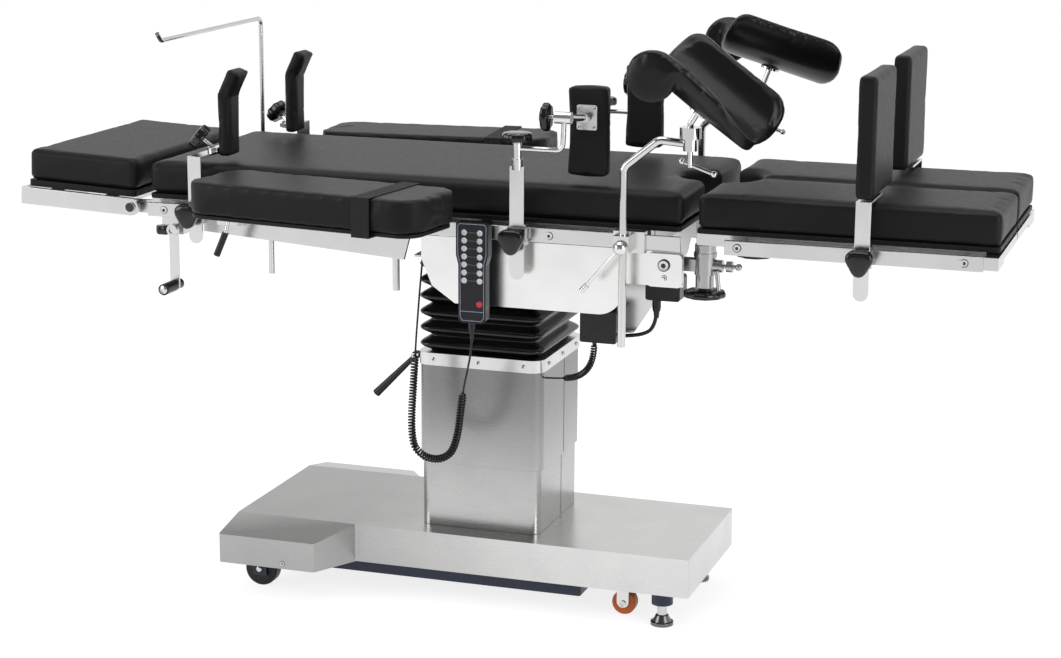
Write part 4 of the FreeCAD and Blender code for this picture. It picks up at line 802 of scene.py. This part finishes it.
# %% The head cushion
HEAD_HINGE = Matrix.Translation((-0.786, 0, 0.834))
HEAD_TILT = HEAD_HINGE @ Matrix.Rotation(math.radians(2.4), 4, "Y") @ HEAD_HINGE.inverted()
head_cushion = foam("head_cushion", (-1.042, -0.779), (-PAD_HALF, PAD_HALF), (0.8668, 0.9328), 0.016,
                    CUSHION_RIM)
stuff(head_cushion, 0.004)
head_cushion.data.transform(HEAD_TILT)
fit(head_cushion, cover_black, "cushion", "head", "head_pad")

# %% The leg cushions and their boards
leg_cushion = foam("leg_cushion_near", (LEG_START, LEG_END), (-PAD_HALF, -0.002), (PAD_LOW, PAD_TOP), 0.014,
                   CUSHION_RIM)
scoop(leg_cushion, (0.42, 0), 0.09)
stuff(leg_cushion, 0.004, limits=((LEG_START, -PAD_HALF, PAD_LOW), (LEG_END, -0.002, PAD_TOP + 0.003)))
leg_cushions = {"near": leg_cushion, "far": mirrored(leg_cushion, "leg_cushion_far")}
for word, piece in leg_cushions.items():
    fit(piece, cover_black, "cushion", "leg_" + word, "leg_pad_" + word)
    for part in loose_parts("leg_pad_" + word, "leg_board_" + word):
        if reach(part)[1].z < PAD_LOW + 0.01:
            part.name = "leg_board_" + word
            fit(ease(part, 0.0012), board_black, "board_black", "leg_" + word, "leg_pad_" + word)
        else:
            bpy.data.objects.remove(part)
print("leg cushions:", len(leg_cushions))


# %% [markdown]
# ## Arm boards, shoulder supports, side supports and foot plates
# These pads stand in solids of their own, so each starts from a copy of its foam solid.
# The steel that carries it is a second part of the same solid, and is copied and eased.
# The two sides are made apart, because the near arm board is turned a little outwards.


# %% Foam and steel of one accessory
def accessory(node, is_foam, swell, voxel, rim=3, cover=None, metal=None, form=None):
    """Splits a node into its foam, which is stuffed, and its other parts, which are eased."""
    body, name = body_of(node), node.split("_")[0] + "_" + node.split("_")[-1]
    soft, hard = [], []
    for part in loose_parts(node, name):
        low, high = reach(part)
        (soft if is_foam(low, high) else hard).append(part)
    for number, part in enumerate(soft):
        part.name = "%s_cushion%s" % (name, "_%d" % number if number else "")
        stuff(part, swell, voxel, soften=rim, form=form)
        fit(part, cover or cover_black, "cushion", body, node)
    bars = join(hard, name + "_steel")
    return fit(ease(bars, 0.0006), metal or strap_steel, BRUSHED, body, node)


# %% The rounded foot end of a knee crutch
GUTTER_FOOT = 0.133
GUTTER_TURN = {"near": (6.5, 35.5, 0.033), "far": (21.5, 18.5, 0.05)}


def rounded_foot(word, side):
    """Rounds the foot end of a gutter: a long curve outside and a short one inside."""
    yaw, pitch, rise = GUTTER_TURN[word]
    lies = Matrix.Translation((0.456, side * 0.306, 1.07 + rise)) @ Matrix.Rotation(
        math.radians(side * yaw), 4, "Z") @ Matrix.Rotation(math.radians(pitch), 4, "Y")
    back = lies.inverted()

    def form(at):
        spot = back @ at
        inward = -spot.y * side
        share, deep = ((0.04 - inward) / 0.125, 0.085) if inward < 0.04 else ((inward - 0.055) / 0.05, 0.045)
        if share > 0:
            spot.x = min(spot.x, GUTTER_FOOT - deep + deep * math.sqrt(max(0, 1 - share ** 2)))
        return lies @ spot

    return form


# %% The accessories of both sides
for word, side in SIDES.items():
    band = accessory("arm_pad_" + word, lambda low, high: high.x - low.x > 0.3, 0.004, 0.006, metal=webbing)
    band.name = "arm_webbing_" + word
    accessory("shoulder_support_" + word, lambda low, high: low.z > 0.935, 0.003, 0.004)
    accessory("lateral_pad_" + word, lambda low, high: high.z - low.z > 0.1, 0.003, 0.004, metal=brushed_bar)
    accessory("foot_plate_" + word, lambda low, high: low.z > 0.935, 0.003, 0.005)
    accessory("crutch_cushion_" + word, lambda low, high: high.x - low.x > 0.15, 0.003, 0.004, rim=22,
              cover=cover_gloss, metal=bright_rod, form=rounded_foot(word, side))
print("accessories made for", list(SIDES))

# %% [markdown]
# ## Base and column
# The base is a folded steel cover over a navy chassis, with two wheels at the head end,
# two castors and two screw feet. The column is two steel sleeves, one inside the other,
# with a bright collar that holds the rubber boot.

# %% Rounded lower corners
def round_corner(piece, x, z, radius, way=1):
    """Rounds a lower corner of an upright plate; way is 1 at its foot end and -1 at its head end."""
    low, high = reach(piece)
    y = (low.y - 0.01, high.y + 0.01)
    middle, top = x - way * radius, z + radius
    corner = block("corner", sorted((x + way * 0.01, middle)), y, (z - 0.002, top), 0.00001, 1)
    cut_away(corner, turned_bar("round_tool", (middle, y[0] - 0.01, top), (middle, y[1] + 0.01, top),
                                [(0, radius), (1, radius)], sides=96))
    cut_away(piece, corner)
    smooth(piece, 30)


# %% Base
dressed("base_cover", brushed_base, BRUSHED, 0.0025, segments=3, sharp=30)
dressed("base_chassis", navy_paint, "navy_paint", 0.0015)
paint(dressed("brake_feet", dark_foot, POLISHED, 0.001), bright_rod, lambda at: at.z > 0.024)
for word, side in SIDES.items():
    dressed("head_wheel_" + word, tyre_black, "black_tyre", 0.001)
    fork = dressed("castor_fork_" + word, strap_steel, "cast_grey", 0.0004)
    foot = [corner.co.x for corner in fork.data.vertices if corner.co.z < 0.0195]
    for way, x in ((1, max(foot)), (-1, min(foot))):
        round_corner(fork, x, 0.018, (max(foot) - min(foot)) * 0.49, way)
    dressed("castor_wheel_" + word, tyre_orange, "orange_tyre")
print("base made")

# %% Column
dressed("column_lower_cover", brushed_column, BRUSHED)
paint(dressed("column_upper_cover", brushed_column, BRUSHED, 0.0012), brushed_bar, lambda at: at.z > 0.513)
dressed("lift_cylinder", brushed_bar, POLISHED, 0.001)
dressed("lift_ram", brushed_bar, POLISHED, 0.001)
dressed("tilt_yoke", cast_grey, "cast_grey", 0.001)
dressed("hand_lever", box_black, "black_plastic", 0.0012)
print("column made")


# %% Screws
def domed_screw(name, at, outward, radius, body):
    """A domed screw head whose socket is painted dark as shade."""
    at, way = Vector(at), Vector(outward)
    head = turned_bar(name, at, at + way * 0.003,
                      [(0, radius), (0.35, radius * 0.98), (0.75, radius * 0.8), (0.95, radius * 0.55),
                       (0.97, radius * 0.42), (0.55, radius * 0.4)], sides=20)
    fit(smooth(head, 40), bright_rod, POLISHED, body)
    paint(head, dark_and_painted_shade, lambda spot: (spot - at).cross(way).length < radius * 0.36)


for number, x in enumerate((-0.15, -0.05, 0.05)):
    domed_screw("collar_screw_%d" % number, (x, -0.1462, 0.5265), (0, -1, 0), 0.0042, "column")
for number, y in enumerate((-0.095, 0.0, 0.095)):
    domed_screw("collar_side_screw_%d" % number, (0.0907, y, 0.5265), (1, 0, 0), 0.0042, "column")
# The seams are thin dark strips: painted shade in the gaps of the column sleeves.
for name, x, z, body in (("column_seam", (0.0872, 0.0879), (0.302, 0.512), "column"),
                         ("column_low_seam", (0.0822, 0.0829), (0.161, 0.423), "base")):
    fit(block(name, x, (0.0195, 0.0207), z, 0.0001), dark_and_painted_shade, "dark_plastic", body)
print("screws and seams set")

# %% [markdown]
# ## Rubber boot
# The boot is a stack of soft folds. One ring of corners is drawn as a rounded rectangle,
# and it is extruded upwards fold by fold, wide at each ridge and narrow at each valley.
# Subdivision rounds the folds and a Solidify gives the rubber its wall. It is made in two
# halves, because the table tilts lengthwise below the middle and sideways above it.


# %% Folds of the boot
BOOT_X, BOOT_LONG, BOOT_WIDE, BOOT_LOW, BOOT_TOP = -0.05, 0.141, 0.15, 0.5403, 0.745
FOLDS = 6
FOLD_HIGH = (BOOT_TOP - BOOT_LOW) / FOLDS
VALLEY = 0.024
CORNER_STEPS = 8


def ring_points(inset, z):
    """Corners of a level rounded rectangle, moved in by an inset."""
    corner = 0.03 - inset * 0.4
    long, wide = BOOT_LONG - inset - corner, BOOT_WIDE - inset - corner
    points = []
    for number, (sx, sy) in enumerate(((1, -1), (1, 1), (-1, 1), (-1, -1))):
        for step in range(CORNER_STEPS + 1):
            angle = math.radians(-90 + 90 * number + 90 * step / CORNER_STEPS)
            points.append((BOOT_X + sx * long + corner * math.cos(angle),
                           sy * wide + corner * math.sin(angle), z))
    return points


def boot_half(name, first, last):
    """Rings between two half folds, bridged into a skin."""
    rings = []
    for fold in range(first, last):
        base = BOOT_LOW + fold * FOLD_HIGH
        for share, inset in ((0.0, VALLEY), (0.1, VALLEY - 0.003), (0.3, 0.007), (0.5, 0.0005), (0.7, 0.007),
                             (0.9, VALLEY - 0.003)):
            rings.append(ring_points(inset, base + share * FOLD_HIGH))
    rings.append(ring_points(VALLEY, BOOT_LOW + last * FOLD_HIGH))
    count = len(rings[0])
    corners = [point for one in rings for point in one]
    faces = [(row * count + i, row * count + (i + 1) % count, (row + 1) * count + (i + 1) % count,
              (row + 1) * count + i) for row in range(len(rings) - 1) for i in range(count)]
    mesh = bpy.data.meshes.new(name)
    mesh.from_pydata(corners, [], faces)
    piece = placed(name, mesh)
    modify(piece, "SOLIDIFY", thickness=0.0022, offset=-1)
    modify(piece, "SUBSURF", levels=1, render_levels=1)
    apply_all(piece)
    return smooth(piece)


lower_boot = fit(boot_half("boot_lower", 0, 3), boot_rubber, "black_rubber", None, "bellows")
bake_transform(lower_boot)
upper_boot = fit(boot_half("boot_upper", 3, FOLDS), boot_rubber, "black_rubber", None, "bellows")
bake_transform(upper_boot)
print("boot folds:", FOLDS)

# %% [markdown]
# ## Frames, rails and clamps
# The top is carried by box members, side plates and rails of stainless steel. All of them
# are eased copies of their solids, and the faces of grips, sockets and feet are painted
# with their own finish.

# %% Seat, back, head and leg steelwork
dressed("seat_frame", brushed_bar, BRUSHED)
round_corner(dressed("seat_side_plates", polished_plate, POLISHED, 0.001), 0.2965, 0.678, 0.052)
for node in ("seat_rails", "back_rails"):
    rail = dressed(node, brushed_bar, BRUSHED, 0.0006)
    # The sockets of the rail screw heads are painted dark as shade.
    paint(rail, dark_and_painted_shade, lambda at: 0.0003 < abs(at.y) - RAIL_OUT < 0.0014 and abs(at.z - 0.8347) < 0.0034)
dressed("back_frame", brushed_bar, BRUSHED)
dressed("head_frame", brushed_bar, BRUSHED, 0.001)
for node in ("seat_board", "back_board", "head_board"):
    dressed(node, board_black, "board_black", 0.0012)
for word, side in SIDES.items():
    dressed("leg_knuckle_" + word, satin_joint, POLISHED, 0.001)
    dressed("stirrup_post_" + word, bright_rod, POLISHED, 0.0006)
    dressed("lateral_rod_" + word, strap_steel, POLISHED, 0.0006)
    paint(dressed("arm_board_" + word, board_black, "board_black", 0.0012), brushed_bar,
          lambda at: at.z < 0.8575)
dressed("screen_rod", bright_rod, POLISHED, 0.0004)
crank = dressed("head_crank", brushed_bar, POLISHED, 0.001)
paint(crank, box_black, lambda at: at.z < 0.69 and (at.y < -0.2785 or at.y > -0.2725))
print("steelwork dressed")


# %% Knobs of the clamps
def without(piece, where):
    """Deletes the faces whose middle passes a test."""
    pick_only(piece)
    edit("DESELECT")
    bpy.ops.mesh.select_mode(type="FACE")
    close()
    for face in piece.data.polygons:
        face.select = where(face.center)
    bpy.ops.object.mode_set(mode="EDIT")
    bpy.ops.mesh.delete(type="FACE")
    close()
    return piece


CLAMP_FACE = RAIL_OUT + 0.013 + 0.005 + 0.0006 + 0.01
SHIELD_KNOBS = [
    ("back", -0.628, NEAR, 0.835, CLAMP_FACE), ("back", -0.642, FAR, 0.835, CLAMP_FACE),
    ("back", -0.739, FAR, 0.833, RAIL_OUT + 0.037),
    ("seat", 0.082, NEAR, 0.827, CLAMP_FACE), ("seat", 0.082, FAR, 0.827, CLAMP_FACE),
    ("leg_near", 0.778, NEAR, 0.831, CLAMP_FACE), ("leg_far", 0.778, FAR, 0.831, CLAMP_FACE),
]


def on_knob(at):
    """Whether a point belongs to one of the clamp knobs."""
    return any(math.hypot(at.x - x, at.z - z) < 0.03 and at.y * side > face - 0.0005
               for body, x, side, z, face in SHIELD_KNOBS)


back_clamps = without(dressed("back_rail_clamps", strap_steel, BRUSHED), on_knob)
paint(back_clamps, box_black, lambda at: at.z < 0.803 and abs(at.y) > 0.3)
without(dressed("seat_rail_clamps", strap_steel, BRUSHED), on_knob)
for word in SIDES:
    leg_steel = without(dressed("leg_frame_" + word, brushed_bar, BRUSHED), on_knob)
    paint(leg_steel, box_black, lambda at: at.z < 0.741 and at.x < 0.5)
for number, (body, x, side, z, face) in enumerate(SHIELD_KNOBS):
    grip(body, "shield_knob_%d" % number, (x, side * (face - 0.001), z), (0, side, 0), 3, 0.0232, 0.003, 0.022,
         turn=-math.pi / 2)
print("shield knobs:", len(SHIELD_KNOBS))

# %% Fluted knobs of the shoulder and side supports, and of the leg joints
for word, side in SIDES.items():
    x = {"near": -0.622, "far": -0.636}[word]
    start = Vector((x - 0.019, side * 0.2117, 0.954 + 0.023))
    end = Vector((x - 0.033, side * 0.2163, 0.954 + 0.0348))
    grip("shoulder_" + word, "shoulder_knob_" + word, start, end - start, 8, 0.0242, 0.0014, 0.021)
    y, rod = side * (RAIL_OUT + 0.008 + 0.0003 + 0.0025), "lateral_rod_" + word
    grip(rod, "lateral_top_knob_" + word, (0.085, y, 1.0235), (0, 0, 1), 8, 0.0276, 0.0014, 0.0178)
    grip(rod, "lateral_side_knob_" + word, (0.152, y, 1.074), (-1, 0, 0), 8, 0.0246, 0.0014, 0.0155)
    grip("leg_" + word, "leg_star_knob_" + word, (0.454, side * 0.222, 0.7335), (0, 0, -1), 10,
         0.0382, 0.0012, 0.0138)
print("fluted knobs: 8")

# %% [markdown]
# ## Control boxes and hand control
# The boxes are plain mouldings. The hand control is a slim moulded case with two columns
# of round keys, a red key near its foot, and a blue-grey line round its panel. The line is
# a thin bead, half sunk in the face.

# %% Boxes and case
dressed("control_boxes", box_black, "dark_plastic", 0.0015)
dressed("handset_case", case_black, "black_plastic", 0.0015, segments=3)
FACE_Y, MIDDLE_X = -0.318, -0.002
KEY_TOP, KEY_STEP = 0.837, 0.0163


def round_key(name, x, z, end, radii, finish):
    """A domed key on the face of the case."""
    x += MIDDLE_X
    key = turned_bar(name, (x, FACE_Y + 0.0003, z), (x, end, z), list(zip((0, 0.35, 0.75, 0.95, 1.0), radii)),
                     sides=24)
    fit(smooth(key), finish, "key_white", "seat", "handset_keys")


for row in range(7):
    for word, x in (("left", -0.0165), ("right", 0.0165)):
        round_key("key_%d_%s" % (row, word), x, KEY_TOP - KEY_STEP * row, FACE_Y - 0.0017,
                  (0.0061, 0.0061, 0.0054, 0.0036, 0.0012), key_white)
round_key("key_red", 0.016, 0.692, FACE_Y - 0.002, (0.0066, 0.0066, 0.0058, 0.0038, 0.0012), key_red)


def bead(name, points, radius=0.0008):
    """A thin raised line through points of the panel."""
    fit(skin(name, [Vector((MIDDLE_X + x, FACE_Y, z)) for x, z in points], radius), panel_line, "key_white",
        "seat")


bead("panel_line", [(-0.03, 0.85), (-0.03, 0.792), (-0.025, 0.774), (-0.025, 0.664), (-0.02, 0.657),
                    (0.02, 0.657), (0.025, 0.664), (0.025, 0.774), (0.03, 0.792), (0.03, 0.85),
                    (0.026, 0.8545), (-0.026, 0.8545), (-0.03, 0.85)])
bead("panel_low_line", [(-0.025, 0.676), (0.025, 0.676)])
for row in range(7):
    bead("key_line_%d" % row, [(x, KEY_TOP - KEY_STEP * row) for x in (-0.0095, 0.0095)], 0.0003)
print("hand control keys: 15")

# %% [markdown]
# ## Small hardware
# Screws, hubs, pins and seams are set where a level line from outside first meets the
# table, so each one sits on the surface that is really there.


# %% Screws with a gap ring and a socket
def touch(x, z, side):
    """The y at which a level line from one side first meets the table."""
    bpy.context.view_layer.update()
    eye = bpy.context.evaluated_depsgraph_get()
    met, spot = bpy.context.scene.ray_cast(eye, Vector((x, side * 0.9, z)), Vector((0, -side, 0)))[:2]
    return spot.y if met else side * RAIL_OUT


def on_side(name, x, z, side, high, profile, finish, slot, body, below=0.0, sides=32):
    """A turned part that points outwards, from the skin of the table at a place or just below it."""
    at = Vector((x, touch(x, z - below, side), z))
    return fit(turned_bar(name, at, at + Vector((0, side * high, 0)), profile, sides), finish, slot, body)


def ring_screw(name, x, z, side, body, radius=0.0072, high=0.0012):
    """A flat screw head whose gap ring and socket are painted dark as shade."""
    head = on_side(name, x, z, side, high,
                   [(0, radius * 1.16), (0.25, radius * 1.14), (0.25, radius), (1.0, radius * 0.94),
                    (0.85, radius * 0.46), (0.1, radius * 0.42)], bright_rod, POLISHED, body, sides=28)
    paint(head, dark_and_painted_shade, lambda at: not 0.43 * radius < math.hypot(at.x - x, at.z - z) < radius * 0.99)


for word, side in SIDES.items():
    for name, x, z, body, *shape in (
            ("leg_rail_screw_%s_0", 0.532, 0.8355, "leg_" + word),
            ("leg_rail_screw_%s_1", 0.97, 0.8355, "leg_" + word),
            ("seat_rail_screw_%s", 0.149, 0.8347, "seat"), ("back_rail_screw_%s", -0.701, 0.8347, "back"),
            ("end_plate_bolt_%s", 0.383, 0.789, "seat", 0.0105, 0.0022),
            ("end_plate_screw_%s", 0.384, 0.764, "seat", 0.005), ("ear_screw_%s", -0.44, 0.088, "base",
                                                                   0.005)):
        ring_screw(name % word, x, z, side, body, *shape)
    on_side("head_pivot_" + word, -0.786, 0.834, side, 0.0012, [(0, 0.0098), (0.7, 0.0098), (1, 0.009)],
            dark_and_painted_shade, "black_plastic", "head")
print("ring screws set")

# %% Wheel hubs, crank end, knuckle rings and pad screws
for word, side in SIDES.items():
    for node, x, z, rim in (("head_wheel_", -0.532, 0.037, 0.025), ("castor_wheel_", 0.27, 0.028, 0.006)):
        on_side(node.replace("wheel_", "hub_") + word, x, z, side, 0.0012,
                [(0, rim), (0.8, rim), (1.0, rim * 0.96), (0.6, rim * 0.84), (0.6, rim * 0.3)],
                box_black if rim > 0.01 else bright_rod, "black_tyre", body_of(node + word), rim * 0.9, 40)
    on_side("axle_nut_" + word, -0.532, 0.04, side, 0.004, [(0, 0.006), (0.7, 0.006), (1, 0.004)],
            bright_rod, POLISHED, "base")
    for number, z in enumerate((0.8205, 0.8115, 0.772, 0.761)):
        at = Vector((0.454, side * 0.222, z))
        ring = turned_bar("knuckle_ring_%s_%d" % (word, number), at, at + Vector((0, 0, 0.0012)),
                          [(0, 0.016), (0.1, 0.01735), (0.9, 0.01735), (1, 0.016)], sides=48)
        fit(ring, dark_and_painted_shade, "cast_grey", "knuckle_" + word)
    for number, (across, up) in enumerate(((-1, -1), (-1, 1), (1, -1), (1, 1))):
        domed_screw("pad_screw_%s_%d" % (word, number),
                    (0.207 + across * 0.0155, side * 0.2259, 1.067 + up * 0.019),
                    (0, side, 0), 0.0032, "lateral_pad_" + word)
on_side("crank_end", -0.684, 0.674, NEAR, 0.0015,
        [(0, 0.0085), (0.5, 0.0085), (1.0, 0.007), (0.4, 0.006),
         (0.9, 0.0038)], bright_rod, POLISHED, "crank")
grip("back", "clamp_knob", (-0.708, -0.268, 0.799), (0, 0, -1), 6, 0.017, 0.0014, 0.018)
print("hubs, rings and pad screws set")


# %% Seams of the arm cushions
def stitched(name, word, route):
    """A sewn seam: a thin bead through points that are moved onto an arm cushion's skin."""
    piece = bpy.data.objects["arm_%s_cushion" % word]
    line = []
    for a, b in zip(route, route[1:]):
        for step in range(12):
            spot, out = piece.closest_point_on_mesh(a.lerp(b, step / 12))[1:3]
            line.append(spot + out * 0.0001)
    fit(skin(name + word, line, 0.0006, sides=6), cord_rubber, "cushion", "arm_" + word)


for word, side in SIDES.items():
    for name, route in (("arm_seam_head_", ((-0.59, 0.345, 0.925), (-0.56, 0.39, 0.912),
                                            (-0.5, 0.39, 0.85))),
                        ("arm_seam_foot_", ((-0.128, 0.44, 0.915), (-0.15, 0.44, 0.9),
                                            (-0.187, 0.44, 0.85)))):
        stitched(name, word, [Vector((x, side * y, z)) for x, y, z in route])
print("seams sewn")
